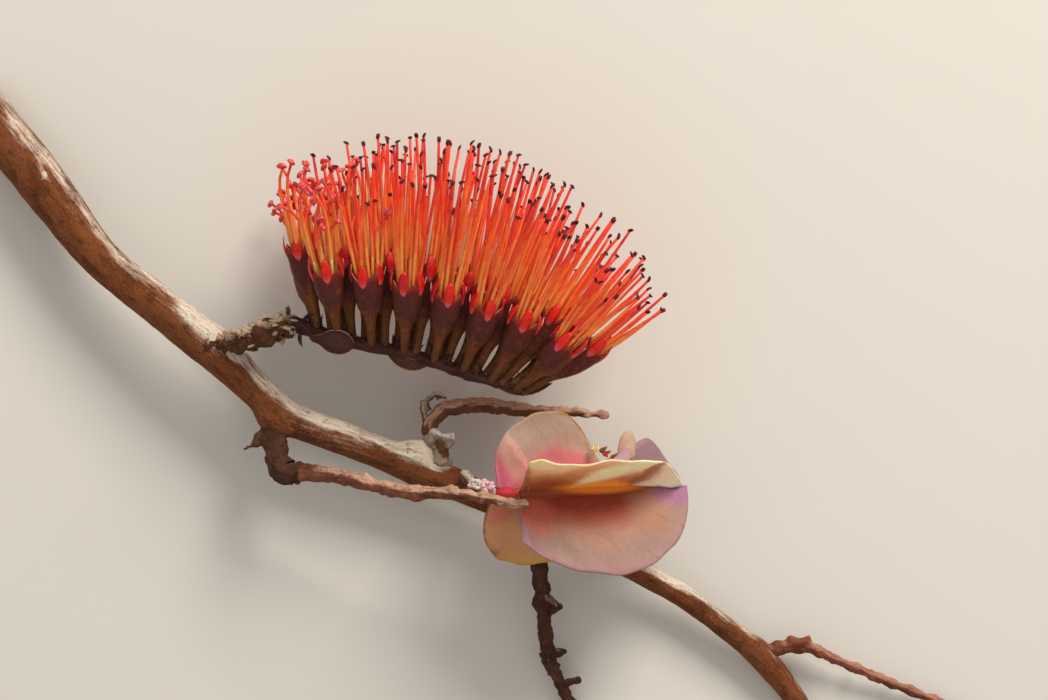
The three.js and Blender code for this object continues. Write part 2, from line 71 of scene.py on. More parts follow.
# The stem, its twigs and shoots, and the two stalks, as in the source
LIMBS = {
    "stem": Limb(
        [
            (-102.7, 47.6, 4.4), (-89.2, 31.3, 7.4), (-77.8, 17.1, 9.8), (-62.8, 4.9, 12.2),
            (-51.8, -4.6, 13.0), (-42.7, -12.2, 12.8), (-31.8, -16.6, 12.0), (-20.0, -21.6, 10.6),
            (-0.7, -30.0, 8.4), (25.2, -43.1, 5.6), (35.4, -50.0, 4.6), (44.7, -57.7, 3.6),
            (53.6, -69.3, 1.9),
        ],
        [4.7, 4.5, 3.6, 3.6, 3.1, 3.1, 2.9, 3.0, 2.5, 2.15, 2.0, 2.4, 1.8],
    ),
    "flower_spur": Limb(
        [(-57.5, 1.1, 14.0), (-51.3, 1.6, 17.8), (-46.0, 3.2, 20.8), (-42.0, 4.8, 22.0)],
        [1.9, 1.7, 2.1, 1.4],
    ),
    "snag": Limb([(-46.0, -13.7, 13.0), (-48.6, -16.6, 13.8), (-50.8, -18.0, 14.4)], [1.5, 0.9, 0.25]),
    "lower_shoot": Limb(
        [(-44.7, -13.5, 13.2), (-44.9, -18.5, 15.2), (-43.4, -22.2, 17.4), (-40.2, -22.0, 19.0)],
        [1.5, 2.1, 2.2, 1.6],
    ),
    "lower_twig": Limb(
        [
            (-39.7, -22.1, 19.3), (-33.0, -22.8, 21.8), (-22.1, -25.1, 25.6), (-11.3, -25.6, 28.6),
            (0.4, -27.4, 31.4),
        ],
        [1.55, 1.3, 1.2, 1.0, 0.45],
    ),
    "upper_shoot": Limb(
        [(-15.0, -22.0, 10.2), (-15.2, -17.6, 11.2), (-17.4, -14.3, 11.4), (-15.0, -11.1, 11.2)],
        [1.3, 1.0, 1.3, 1.25],
    ),
    "upper_twig": Limb(
        [
            (-14.3, -10.7, 11.2), (-8.1, -10.1, 11.0), (1.1, -11.2, 10.2), (8.8, -11.5, 9.6),
            (15.3, -12.1, 9.0),
        ],
        [1.4, 1.25, 1.05, 0.7, 0.4],
    ),
    "curled_shoot": Limb(
        [(-17.8, -13.7, 10.6), (-18.4, -10.5, 9.6), (-16.5, -8.3, 9.0), (-14.5, -8.8, 8.6)],
        [0.7, 0.55, 0.5, 0.3],
    ),
    "hanging_twig": Limb(
        [(2.0, -32.4, 8.0), (3.1, -42.4, 6.8), (4.1, -53.7, 4.6), (5.4, -59.1, 3.2), (10.1, -69.0, 1.0)],
        [1.7, 1.5, 1.15, 1.1, 0.95],
    ),
    "fork_twig": Limb(
        [
            (44.6, -56.1, 3.6), (51.7, -54.9, 4.2), (58.3, -57.7, 3.8), (68.1, -61.9, 2.6),
            (84.3, -68.3, 0.8),
        ],
        [1.3, 1.05, 0.8, 0.75, 0.7],
    ),
    "flower_axis": Limb(
        [
            (-41.4, 4.8, 22.2), (-33.2, 1.9, 22.2), (-24.8, 0.2, 22.2), (-16.4, -2.1, 22.2),
            (-8.0, -4.9, 22.2), (0.6, -7.8, 22.2),
        ],
        [1.3, 1.2, 1.15, 1.1, 1.05, 0.8],
    ),
    "fruit_stalk": Limb(
        [
            (-10.4, -24.6, 9.8), (-10.8, -22.8, 15.5), (-10.3, -22.7, 22.5), (-8.0, -24.8, 27.4),
            (-5.6, -25.3, 27.7),
        ],
        [1.0, 0.85, 0.75, 0.85, 0.65],
    ),
}

# The florets on the flower axis, as in the source

FLORET_ROWS = [(32, 7, 0.5), (10, 8, 0), (-10, 7, 0.5), (-32, 7, 0)]  # tilt, florets, offset
ROW_SPACES = 7
ROW_START, ROW_END = 0.11, 0.97  # the shares of the axis between which the florets stand
ROW_SHIFT = 0.0007  # the share by which each degree of tilt moves a row along
ROW_CROWDING = 1.15  # where it is over 1, the florets stand closer at the thin end
FLORET_LENGTH = 15
LEAN_FIRST, LEAN_GAIN, LEAN_LATE = -10, 34, 24  # degrees: at the start, gained evenly, gained late
BASE_LEAN = 16  # how many degrees more the lower halves lean at the thin end
FOOT_TILT, HEAD_TILT = 1.45, 0.75  # how much of its row's tilt a floret's lower and upper half takes
JITTER_ANGLE = 1.5
FLORET_SEED = 71
# How far the stamens reach: at the start, gained along the row, and gained in its middle
STAMEN_SHORT, STAMEN_SLOPE, STAMEN_GAIN, STAMEN_POWER = 14.5, 2, 9.3, 0.8
LOBES = 5
LOBE_TWIST = 0.05  # the most that a floret is turned on its own line, in turns
TWIST_STEP = 5.1  # radians from one floret to the next, so that neighbours are turned differently
YOUTH_END, YOUTH_FADE = 0.24, 0.15  # florets are young before this share of the row, and fade over this
OVARY_FROM = (-38.4, 2.1, 24.1)
OVARY_TO = (-30.2, -0.3, 24.5)

# The fruit, as in the source: each wing's turn, reach, half length, shift and curl

FRUIT_BASE = Vector((-4.5, -25.5, 27.2))
FRUIT_LENGTH = 30.5
FRUIT_RISE, FRUIT_DROP = 1.8, 19  # degrees that it turns towards +Y, and down
WING_ROOT = 0.84  # the share of the fruit's length that a wing's root takes
WING_OVERHANG = 10  # degrees by which a wing's border goes past half a turn, at each end
WING_CLEAR = 0.35  # thinner than the source's, where the wings' free ends meet
WINGS = {
    "front": (23, 17.2, 14.8, 5.2, -1.2),
    "upper": (90, 14.8, 10.0, -5.3, -1.4),
    "rear": (142, 14.0, 5.2, 14.8, 0.8),
    "under": (232, 19.4, 13.4, -2.4, -1.4),
    "lower": (297, 17.7, 16.2, 4.5, 1.5),
}
# How each wing's edge leans along the fruit, from its near to its far end, and how square it is:
# a fullness of 1 gives half an ellipse, and less is squarer
WING_FORMS = {
    "front": ([-4.9, -9.1], [0.08, 0.2, 0.4, 0.55, 1.2]),
    "upper": ([-1.2, 0.3], [0.4, 0.7, 1.2, 1.4, 1.1]),
    "rear": ([4.6, 0.6], [0.45, 0.4, 1.2, 2.1, 2.3]),
    "under": ([-4, -2], [0.5, 0.9, 1.2, 1.2, 1.1]),
    "lower": ([-1.2, -1.7], [0.05, 0.75, 1.3, 0.85, 0.8]),
}
WING_LIP = ((18.7, -22.6, 12.5), (19.4, -14.8, 9.5))  # the rear wing's rolled near edge


# Small tools


def linear(code):
    """A colour written as six sRGB hex digits, as the linear values that shaders take."""
    channels = [int(code[i : i + 2], 16) / 255 for i in (0, 2, 4)]
    return tuple(c / 12.92 if c <= 0.04045 else ((c + 0.055) / 1.055) ** 2.4 for c in channels)


def rgba(colour):
    """A colour as a socket takes it, from six hex digits or from linear values."""
    values = linear(colour) if isinstance(colour, str) else colour[:3]
    return (*values, 1.0)


def darker(colour, share):
    """A colour with only a share of its light."""
    return [channel * share for channel in rgba(colour)[:3]]


def placed(point):
    """A layout point in millimetres, brought to the frame in metres."""
    return (Vector(point) - LAYOUT_MIDDLE) * MM


def mix(a, b, share):
    """The value that lies at a share of the way from a to b."""
    return a + (b - a) * share


def bent(start, bend, end, share):
    """The point at a share of a curve that leaves its start towards the bend."""
    return start * (1 - share) ** 2 + bend * (2 * share * (1 - share)) + end * share**2


def bowed(start, end, bow, arch=1.0):
    """A line that bows out on its way. With an arch of 0.5 it is bowed out most at its end."""
    start, end, bow = Vector(start), Vector(end), Vector(bow)
    return lambda share: start.lerp(end, share) + bow * math.sin(math.pi * arch * share)


def random_way(rng, *spans):
    """A unit vector whose three parts are drawn in turn, each from its own span."""
    return Vector([rng.uniform(*span) for span in spans]).normalized()


def smooth(value, low, high):
    """0 below low, 1 above high, and an eased step between."""
    share = min(max((value - low) / (high - low), 0.0), 1.0)
    return share * share * (3 - 2 * share)


def pointing(lean, tilt):
    """The unit vector that leans from +Y towards +X and tilts up, both in degrees."""
    a, b = math.radians(lean), math.radians(tilt)
    return Vector((math.sin(a) * math.cos(b), math.cos(a) * math.cos(b), math.sin(b)))


def across(direction):
    """Two unit vectors square to a direction and to each other."""
    side = direction.cross(UP).normalized()
    return side, side.cross(direction)


def profile_at(values, share):
    """The value that lies at a share of a list, eased straight between its entries."""
    place = min(max(share, 0.0), 1.0) * (len(values) - 1)
    low = min(int(place), len(values) - 2)
    return mix(values[low], values[low + 1], place - low)


ROUTE_PIECES = 60  # straight pieces that measure one span of a route
ROUTE_STEP = 0.004  # the share of a route on each side over which its direction is taken


class Route:
    """A smooth line through points, with the same curve between them as the source's limbs."""

    def __init__(self, points):
        points = [Vector(point) for point in points]
        before = points[0] * 2 - points[1]
        after = points[-1] * 2 - points[-2]
        self.spans = len(points) - 1
        self.points = [before, *points, after]

    def at(self, share):
        place = min(max(share, 0.0), 1.0) * self.spans
        i = min(int(place), self.spans - 1)
        w = place - i
        before, start, end, after = self.points[i : i + 4]
        leave, arrive = (end - before) / 2, (after - start) / 2
        ease = 3 * w**2 - 2 * w**3
        turns = leave * (w**3 - 2 * w**2 + w) + arrive * (w**3 - w**2)
        return start * (1 - ease) + end * ease + turns

    def even_shares(self, spacing):
        """Shares of the route that lie about the same spacing apart, and their lengths along it."""
        fine = ROUTE_PIECES * self.spans
        points = [self.at(i / fine) for i in range(fine + 1)]
        lengths = [0.0]
        for i in range(fine):
            lengths.append(lengths[-1] + (points[i + 1] - points[i]).length)
        count = max(2, round(lengths[-1] / spacing))
        shares, i = [], 0
        for n in range(count + 1):
            target = lengths[-1] * n / count
            while i < fine - 1 and lengths[i + 1] < target:
                i += 1
            part = (target - lengths[i]) / (lengths[i + 1] - lengths[i])
            shares.append(((i + part) / fine, target))
        return shares

    def ahead(self, share):
        """The unit vector along the route."""
        return (self.at(share + ROUTE_STEP) - self.at(share - ROUTE_STEP)).normalized()


# Shapes


def rolled(bm, around, rings, place, paint=None):
    """Rolls a grid into a closed tube. place(corner, turn, ring) gives each corner's point."""
    corners = bmesh.ops.create_grid(bm, x_segments=around, y_segments=rings, size=0.5)["verts"]
    # Each face once and in a fixed order, so that random paint comes out the same in every run
    faces = dict.fromkeys(face for corner in corners for face in corner.link_faces)
    for face in faces:
        face.smooth = True
        if paint:
            middle = face.calc_center_median()
            face.material_index = paint(int((middle.y + 0.5) * rings), middle.x + 0.5)
    for corner in corners:
        turn = round((corner.co.x + 0.5) * around) % around / around
        ring = round((corner.co.y + 0.5) * rings)
        corner.co = place(corner, turn, ring)
    bmesh.ops.remove_doubles(bm, verts=corners, dist=MERGE)


# How a limb's end closes: how far on and how wide each ring is, as shares of the radius there
CLOSINGS = {
    "cut": [(0.03, 0.96), (0.03, 0.75), (0.03, 0.5), (0.03, 0.25), (0.03, 0.0)],
    "round": [(0.35, 0.93), (0.65, 0.74), (0.85, 0.48), (0.96, 0.22), (1.0, 0.0)],
}


@dataclass
class Bark:
    """One kind of bark. Heights and sizes are millimetres, across and then along the limb."""

    lump: float
    lump_size: float
    fibre: float
    fibre_size: tuple
    crack: float
    flake: float
    flake_size: tuple
    # The skin is pale where the limb faces the side given, from a facing of pale_from on: partly real pale
    # skin, and partly a painted highlight on the side that faces the light
    pale_from: float
    pale_and_lit_side: tuple
    ring: float
    ring_space: float
    soft: float = 0.08


PALE_AND_LIT_SIDE = (0.5, 0.78, 0.38)  # the side of the stem whose pale skin is left, and whose paleness is partly a painted highlight where the light falls
# Each row gives a bark's values in the order above
BARKS = {
    "stem": Bark(0.20, 8.0, 0.05, (0.8, 5.0), 0.06, 0.04, (1.6, 8.0), 0.78, PALE_AND_LIT_SIDE, 0.05, 6.0, 0.3),
    "spur": Bark(0.8, 2.0, 0.3, (0.7, 1.3), 0.20, 0.2, (0.9, 1.2), 0.7, (0.1, 0.9, 0.5), 0.4, 2.0, 0.3),
    "shoot": Bark(0.45, 2.0, 0.2, (0.7, 1.6), 0.16, 0.10, (0.9, 2.0), 0.9, (0.2, 0.8, 0.6), 0.3, 2.2, 0.25),
    "twig": Bark(0.26, 1.8, 0.14, (0.5, 2.0), 0.12, 0.12, (0.7, 2.2), 0.66, (0.2, 0.8, 0.6), 0.2, 2.4, 0.2),
    "thin_twig": Bark(0.12, 2.0, 0.05, (0.4, 2.4), 0.06, 0.06, (0.6, 2.6), 0.30, (0.2, 0.8, 0.6), 0.10, 3.0),
}

CRACK_SPACING = 1.3  # how much closer together the cracks lie than the fibres
CRACK_SHARPNESS = 6


def relief(bark, grain, outward, seed):
    """How high the bark stands at a place, in millimetres, and how pale and how cracked it is."""
    shift = Vector((seed, seed * 0.7, seed * 1.3))
    wide, long = bark.fibre_size
    strand = Vector((grain.x / wide, grain.y / wide, grain.z / long)) + shift
    fibre = noise.fractal(strand, 0.8, 2.1, 4)
    crack = 1 - min(1.0, abs(noise.noise(strand * CRACK_SPACING + shift)) * CRACK_SHARPNESS)
    lump = noise.fractal(grain / bark.lump_size + shift, 0.9, 2.0, 3)
    wide, long = bark.flake_size
    edge = noise.fractal(Vector((grain.x / wide, grain.y / wide, grain.z / long)) - shift, 0.7, 2.1, 4)
    # Paler on the side that faces the light: partly real pale skin, and partly a painted highlight
    facing = outward.dot(Vector(bark.pale_and_lit_side).normalized())
    pale = smooth(facing + 0.2 * edge, bark.pale_from - bark.soft, bark.pale_from + bark.soft)
    ring = noise.noise(Vector((0.3, 0.6, grain.z / bark.ring_space)) + shift)
    height = lump * bark.lump + fibre * bark.fibre + ring * bark.ring
    height += pale * bark.flake - crack * bark.crack * (0.35 + 0.65 * pale)
    return height, pale, crack


KNOB_REACH = 3  # a knob shows no further out than this many of its widths


def bark_limb(bm, limb, bark, around, spacing, ends=("round", "round"), knobs=(), seed=1.0):
    """Adds a limb with its bark's relief. A knob is its share along, side, height, width and paleness."""
    grain_layer = bm.verts.layers.float_vector.get("grain") or bm.verts.layers.float_vector.new("grain")
    pale_layer = bm.verts.layers.float.get("pale") or bm.verts.layers.float.new("pale")
    crack_layer = bm.verts.layers.float.get("crack") or bm.verts.layers.float.new("crack")
    route, radii = Route(limb.points), limb.radii
    middle = route.even_shares(spacing)
    rings = [(share, length, 0.0, 1.0) for share, length in middle]
    first = [(0.0, 0.0, -on, wide) for on, wide in reversed(CLOSINGS[ends[0]])]
    last = [(1.0, middle[-1][1], on, wide) for on, wide in CLOSINGS[ends[1]]]
    rings = first + rings + last
    swellings = []
    for share, toward, height, width, paleness in knobs:
        top = route.at(share) + Vector(toward).normalized() * profile_at(radii, share)
        swellings.append((top, height, width, paleness))
    frames = []
    side = UP
    for share, length, on, wide in rings:
        ahead = route.ahead(share)
        side = (side - ahead * side.dot(ahead)).normalized()
        radius = profile_at(radii, share)
        centre = route.at(share) + ahead * (on * radius)
        frames.append((centre, side.copy(), ahead.cross(side), radius, length, wide))

    def place(corner, turn, ring):
        centre, side, front, radius, length, wide = frames[ring]
        angle = math.tau * turn
        outward = side * math.cos(angle) + front * math.sin(angle)
        grain = Vector((math.cos(angle) * radius, math.sin(angle) * radius, length))
        height, pale, crack = relief(BARKS[bark], grain, outward, seed)
        for top, rise, width, paleness in swellings:
            apart = (centre + outward * radius - top).length / width
            if apart < KNOB_REACH:
                near = math.exp(-apart * apart)
                height += rise * near
                pale = min(max(pale + paleness * near, 0.0), 1.0)
        corner[grain_layer] = Vector((grain.x * wide, grain.y * wide, grain.z))
        corner[pale_layer] = pale
        corner[crack_layer] = crack
        point = centre + outward * max((radius + height) * wide, 0.0)
        point.z = max(point.z, 0.0)
        return placed(point)

    cut_rings = set()
    if ends[0] == "cut":
        cut_rings |= set(range(len(first) - 1))
    if ends[1] == "cut":
        cut_rings |= set(range(len(rings) - len(last), len(rings)))
    rolled(bm, around, len(rings) - 1, place, lambda ring, turn: 1 if ring in cut_rings else 0)


STUB_TAPER = (1.15, 0.75)  # a stub's radii at its foot and its tip, as shares of the one it is given


def stub_limb(limb, stub):
    """A short stub that stands out of a limb, as a limb of its own."""
    along, toward, length, radius = stub
    foot = Route(limb.points).at(along)
    tip = foot + Vector(toward).normalized() * length
    return Limb([foot, tip], [radius * taper for taper in STUB_TAPER])


LINE_STEP = 0.01  # the share of a spindle's line on each side over which its direction is taken


def spindle(bm, around, line, up, widths, depths, paint=None, blunt=0.0):
    """Adds a closed shape along a line: half widths square to up, and half depths towards it.

    Each end closes over a stretch of its own where it is blunt, given as a share of the line.
    """
    rings = len(widths) - 1
    frames = []
    for i in range(rings + 1):
        share = i / rings
        if blunt:
            share = 0.0 if i == 0 else 1.0 if i == rings else mix(blunt, 1 - blunt, (i - 1) / (rings - 2))
        before, after = line(max(share - LINE_STEP, 0)), line(min(share + LINE_STEP, 1))
        side = (after - before).cross(up).normalized()
        frames.append((line(share), side, side.cross(after - before).normalized()))

    def place(corner, turn, ring):
        centre, side, front = frames[ring]
        angle = math.tau * turn
        aside, ahead = math.cos(angle) * widths[ring], math.sin(angle) * depths[ring]
        return placed(centre + side * aside + front * ahead)

    rolled(bm, around, rings, place, paint)


def plain(index):
    """Paints a whole shape with one of its piece's finishes."""
    return lambda ring, turn: index


def edged(width):
    """Paints a flat shape with its first finish, and a band along both of its edges with the second."""
    return lambda ring, turn: 1 if min(abs(turn - 0.5), turn, 1 - turn) < width else 0


def shown(name, data):
    """The object of a mesh, a light or a camera, put in the scene."""
    thing = bpy.data.objects.new(name, data)
    bpy.context.scene.collection.objects.link(thing)
    return thing


def meshed(name, bm, finishes):
    """The object of a shape, with its finishes."""
    mesh = bpy.data.meshes.new(name)
    bm.to_mesh(mesh)
    bm.free()
    for finish in finishes:
        mesh.materials.append(finish.material)
    return shown(name, mesh)


def finished(name, bm, finishes, nodes):
    """Ends a piece: its mesh, finishes and body, and hides the solids that it stands for."""
    bmesh.ops.recalc_face_normals(bm, faces=bm.faces)
    piece = meshed(name, bm, finishes)
    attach(piece, "root")
    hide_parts(*nodes)
    return piece


# Finishes


def shader_maths(operation, turned=False):
    """An operator of a tone, which adds a Math node. Turned, it takes the two values in the other order."""

    def worked(self, other):
        sockets = {0: other, 1: self} if turned else {0: self, 1: other}
        return self.finish.node("ShaderNodeMath", {"operation": operation}, sockets)

    return worked


class Tone:
    """A value that changes over a surface. Arithmetic on it adds Math nodes."""

    def __init__(self, finish, socket):
        self.finish = finish
        self.socket = socket

    __add__ = shader_maths("ADD")
    __radd__ = shader_maths("ADD", turned=True)
    __sub__ = shader_maths("SUBTRACT")
    __rsub__ = shader_maths("SUBTRACT", turned=True)
    __mul__ = shader_maths("MULTIPLY")
    __rmul__ = shader_maths("MULTIPLY", turned=True)
    __pow__ = shader_maths("POWER")


class Finish:
    """A material made node by node. A colour is six hex digits, linear values, or a tone."""

    def __init__(self, name):
        self.material = bpy.data.materials.new(name)
        self.material.use_nodes = True
        self.tree = self.material.node_tree
        self.shader = self.tree.nodes["Principled BSDF"]

    def connect(self, socket, value):
        """Links a tone to a socket, or sets a plain number or colour on it."""
        if isinstance(value, Tone):
            self.tree.links.new(value.socket, socket)
        elif socket.type == "RGBA":
            socket.default_value = rgba(value)
        else:
            socket.default_value = value

    def node(self, kind, settings, sockets, output=0):
        """Adds a node: its type, its settings, then what its sockets take."""
        node = self.tree.nodes.new(kind)
        for key, value in settings.items():
            if key == "stops":
                elements = node.color_ramp.elements
                while len(elements) < len(value):
                    elements.new(0.5)
                for element, (place, colour) in zip(elements, value):
                    element.position = place
                    element.color = rgba(colour)
            else:
                setattr(node, key, value)
        for key, value in sockets.items():
            self.connect(node.inputs[key], value)
        return Tone(self, node.outputs[output])

    def trait(self, name, vector=False):
        """A value that the mesh holds at its corners."""
        return self.node("ShaderNodeAttribute", {"attribute_name": name}, {}, "Vector" if vector else "Fac")

    def scaled(self, vector, factors):
        """A vector with each of its parts made larger or smaller."""
        return self.node("ShaderNodeVectorMath", {"operation": "MULTIPLY"}, {0: vector, 1: factors})

    def ground(self):
        """The place on the piece, in millimetres."""
        point = self.node("ShaderNodeTexCoord", {}, {}, "Object")
        return self.scaled(point, (1 / MM, 1 / MM, 1 / MM))

    def grain_noise(self, vector, scale, detail=4.0, roughness=0.55):
        """Soft noise from 0 to 1."""
        sockets = {"Vector": vector, "Scale": scale, "Detail": detail, "Roughness": roughness}
        return self.node("ShaderNodeTexNoise", {}, sockets)

    def step(self, value, low, high):
        """0 below low, 1 above high, and an eased step between."""
        sockets = {"Value": value, "From Min": low, "From Max": high}
        return self.node("ShaderNodeMapRange", {"interpolation_type": "SMOOTHSTEP"}, sockets)

    def blend(self, share, first, second, way="MIX"):
        """The first colour, with a share of the second on it."""
        settings = {"data_type": "RGBA", "blend_type": way}
        return self.node("ShaderNodeMix", settings, {0: share, 6: first, 7: second}, 2)

    def patch(self, across, along, place, size, slant=0.0):
        """1 in the middle of a soft oval patch, 0 outside it, by its middle, half size and slant."""
        aside = (across - place[0]) * (1 / size[0])
        ahead = (along - place[1] - (across - place[0]) * slant) * (1 / size[1])
        return self.step(1 - (aside * aside + ahead * ahead) ** 0.5, 0.0, 0.6)

    def ramp(self, value, stops):
        """Colours that run into each other as a value grows."""
        return self.node("ShaderNodeValToRGB", {"stops": stops}, {0: value})

    def paint(self, colour, roughness, height=None, depth=0.05, **constants):
        """Sets the shader: its colour, its roughness, its relief in millimetres, and plain numbers."""
        self.connect(self.shader.inputs["Base Color"], colour)
        self.connect(self.shader.inputs["Roughness"], roughness)
        if height is not None:
            sockets = {"Distance": depth * MM, "Height": height}
            self.connect(self.shader.inputs["Normal"], self.node("ShaderNodeBump", {}, sockets))
        for name, value in constants.items():
            self.connect(self.shader.inputs[name.replace("_", " ")], value)


# How fine the bark's patterns are: twice across the limb, then along it
STREAKS = (2.4, 2.4, 0.3)
SPECKS = (1.0, 1.0, 0.6)
BLOTCHES = (0.3, 0.3, 0.12)
SPOTS = (0.6, 0.6, 0.35)


def bark_finish(name, body, warm, shade, skin, skin_shade, speckle=0.5, skin_from=0.5):
    """Bark: a speckled body colour under a pale skin, whose fibres run along the limb.

    The skin shows where the limb's paleness is about skin_from or more: in worn patches, and as a painted
    highlight on the side that faces the light.
    """
    finish = Finish(name)
    grain = finish.trait("grain", vector=True)
    pale = finish.trait("pale")
    crack = finish.trait("crack")
    streak = finish.grain_noise(finish.scaled(grain, STREAKS), 1.0, 5.0, 0.6)
    speck = finish.grain_noise(finish.scaled(grain, SPECKS), 3.4, 6.0, 0.72)
    blotch = finish.grain_noise(finish.scaled(grain, BLOTCHES), 1.0, 3.0)
    under = finish.blend(finish.step(blotch, 0.35, 0.65), body, warm)
    dark = finish.step(1.0 - speck * 0.7 - streak * 0.3 + (blotch - 0.5) * 0.5, 0.40, 0.64)
    under = finish.blend(dark * speckle, under, shade)
    spot = finish.grain_noise(finish.scaled(grain, SPOTS), 1.0, 4.0, 0.6)
    under = finish.blend(finish.step(spot, 0.52, 0.66) * 0.55, under, shade)
    under = finish.blend(finish.step(1.0 - spot, 0.56, 0.7) * 0.5, under, warm)
    # Where the skin shows: worn patches, and a painted highlight on the limb's side that faces the light,
    # which its paleness carries
    worn_and_lit = finish.step(pale + (streak - 0.5) * 0.7 + (speck - 0.5) * 0.5, skin_from - 0.36, skin_from + 0.36)
    top = finish.blend(finish.step(streak * 0.6 + speck * 0.4, 0.34, 0.56), skin_shade, skin)
    top = finish.blend(finish.step(blotch, 0.5, 0.62) * 0.35, top, skin_shade)
    colour = finish.blend(worn_and_lit, under, top)
    colour = finish.blend(finish.step(crack, 0.5, 1.0) * (0.25 + pale * 0.5), colour, shade)
    height = streak * 0.5 + speck * 0.6 + worn_and_lit * 0.25
    finish.paint(colour, 0.75 + speck * 0.2, height, depth=0.2, Specular_IOR_Level=0.2)
    return finish


def cut_wood_finish():
    """The pale end grain of a cut: rings round the pith, and fine rays."""
    finish = Finish("cut_wood")
    grain = finish.trait("grain", vector=True)
    flat = finish.scaled(grain, (1, 1, 0))
    radius = finish.node("ShaderNodeVectorMath", {"operation": "LENGTH"}, {0: flat}, "Value")
    wobble = finish.grain_noise(flat, 0.8, 3.0)
    ring = finish.node("ShaderNodeMath", {"operation": "SINE"}, {0: (radius + wobble * 0.5) * 9.0})
    colour = finish.blend(ring * 0.5 + 0.5, "c9a878", "e2cba0")
    colour = finish.blend(finish.step(radius, 0.5, 0.9), "7a4d31", colour)
    speck = finish.grain_noise(flat, 7.0, 4.0)
    finish.paint(colour, 0.85, ring * 0.3 + speck, depth=0.05)
    return finish


def soft_finish(name, colour, speckle, roughness, mottle, height, subsurface=0.15, scale=1.6, gloss=0.5):
    """A living surface: one colour, mottled with another, with a fine skin.

    The mottle is the share of the second colour, the height is the skin's relief in millimetres, and
    the scale is how many mottles lie on each millimetre.
    """
    finish = Finish(name)
    ground = finish.ground()
    cloud = finish.grain_noise(ground, scale, 3.0)
    fine = finish.grain_noise(ground, 5.5, 4.0, 0.65)
    share = finish.step(cloud * 0.6 + fine * 0.4, 0.42, 0.62)
    finish.paint(
        finish.blend(share * mottle, colour, speckle),
        roughness + (fine - 0.5) * 0.2,
        fine,
        depth=height,
        Specular_IOR_Level=gloss,
        Subsurface_Weight=subsurface,
        Subsurface_Scale=0.4 * MM,
        Subsurface_Radius=(1.0, 0.4, 0.2),
    )
    return finish


def wing_finish(name, colours, patches, glow):
    """A papery wing: colours from its root to its border, soft patches on them, and fanned veins.

    The glow is how much of the light goes through the paper.
    """
    finish = Finish(name)
    share, depth = finish.trait("share"), finish.trait("depth")
    ground = finish.ground()
    cloud = finish.grain_noise(ground, 0.16, 3.0)
    fine = finish.grain_noise(ground, 2.4, 5.0, 0.65)
    fan = finish.node("ShaderNodeCombineXYZ", {}, {0: share * 40 + cloud * 5, 1: depth * 2.6, 2: 0.0})
    vein = finish.grain_noise(fan, 1.0, 5.0, 0.6)
    reach = depth + (cloud - 0.5) * 0.24 + (vein - 0.5) * 0.16
    colour = finish.ramp(reach, colours)
    beside = share + (cloud - 0.5) * 0.12
    for code, strength, place, size, slant in patches:
        mask = finish.patch(beside, reach, place, size, slant)
        colour = finish.blend(mask * strength, colour, code)
    line = finish.step(vein, 0.5, 0.7)
    colour = finish.blend(line * 0.28, colour, "d8b0a8", "MULTIPLY")
    colour = finish.blend(finish.step(fine, 0.45, 0.65) * 0.3, colour, "dcc8c0", "MULTIPLY")
    finish.paint(
        colour,
        0.5 + fine * 0.2,
        vein * 0.6 + fine * 0.3,
        depth=0.12,
        Subsurface_Weight=glow,
        Subsurface_Scale=0.6 * MM,
        Subsurface_Radius=(1.0, 0.5, 0.3),
    )
    return finish


def body_finish(red):
    """The fruit's body: dark red, with an orange glow along its upper side."""
    finish = Finish("fruit_body")
    ground = finish.ground()
    ahead = finish.node("ShaderNodeSeparateXYZ", {}, {0: ground}, 0)
    aside = finish.node("ShaderNodeSeparateXYZ", {}, {0: ground}, 1)
    cloud = finish.grain_noise(ground, 0.9, 3.0)
    fine = finish.grain_noise(ground, 5.0, 4.0)
    colour = finish.blend(finish.step(cloud, 0.4, 0.7) * 0.5, red, "963c1e")
    colour = finish.blend(finish.patch(ahead, aside, (13.0, -15.6), (6.0, 2.6)), colour, "9a4222")
    colour = finish.blend(finish.patch(ahead, aside, (24.3, -14.4), (11.0, 2.0)), colour, "ee8420")
    finish.paint(colour, 0.6, fine, depth=0.1, Specular_IOR_Level=0.3)
    return finish


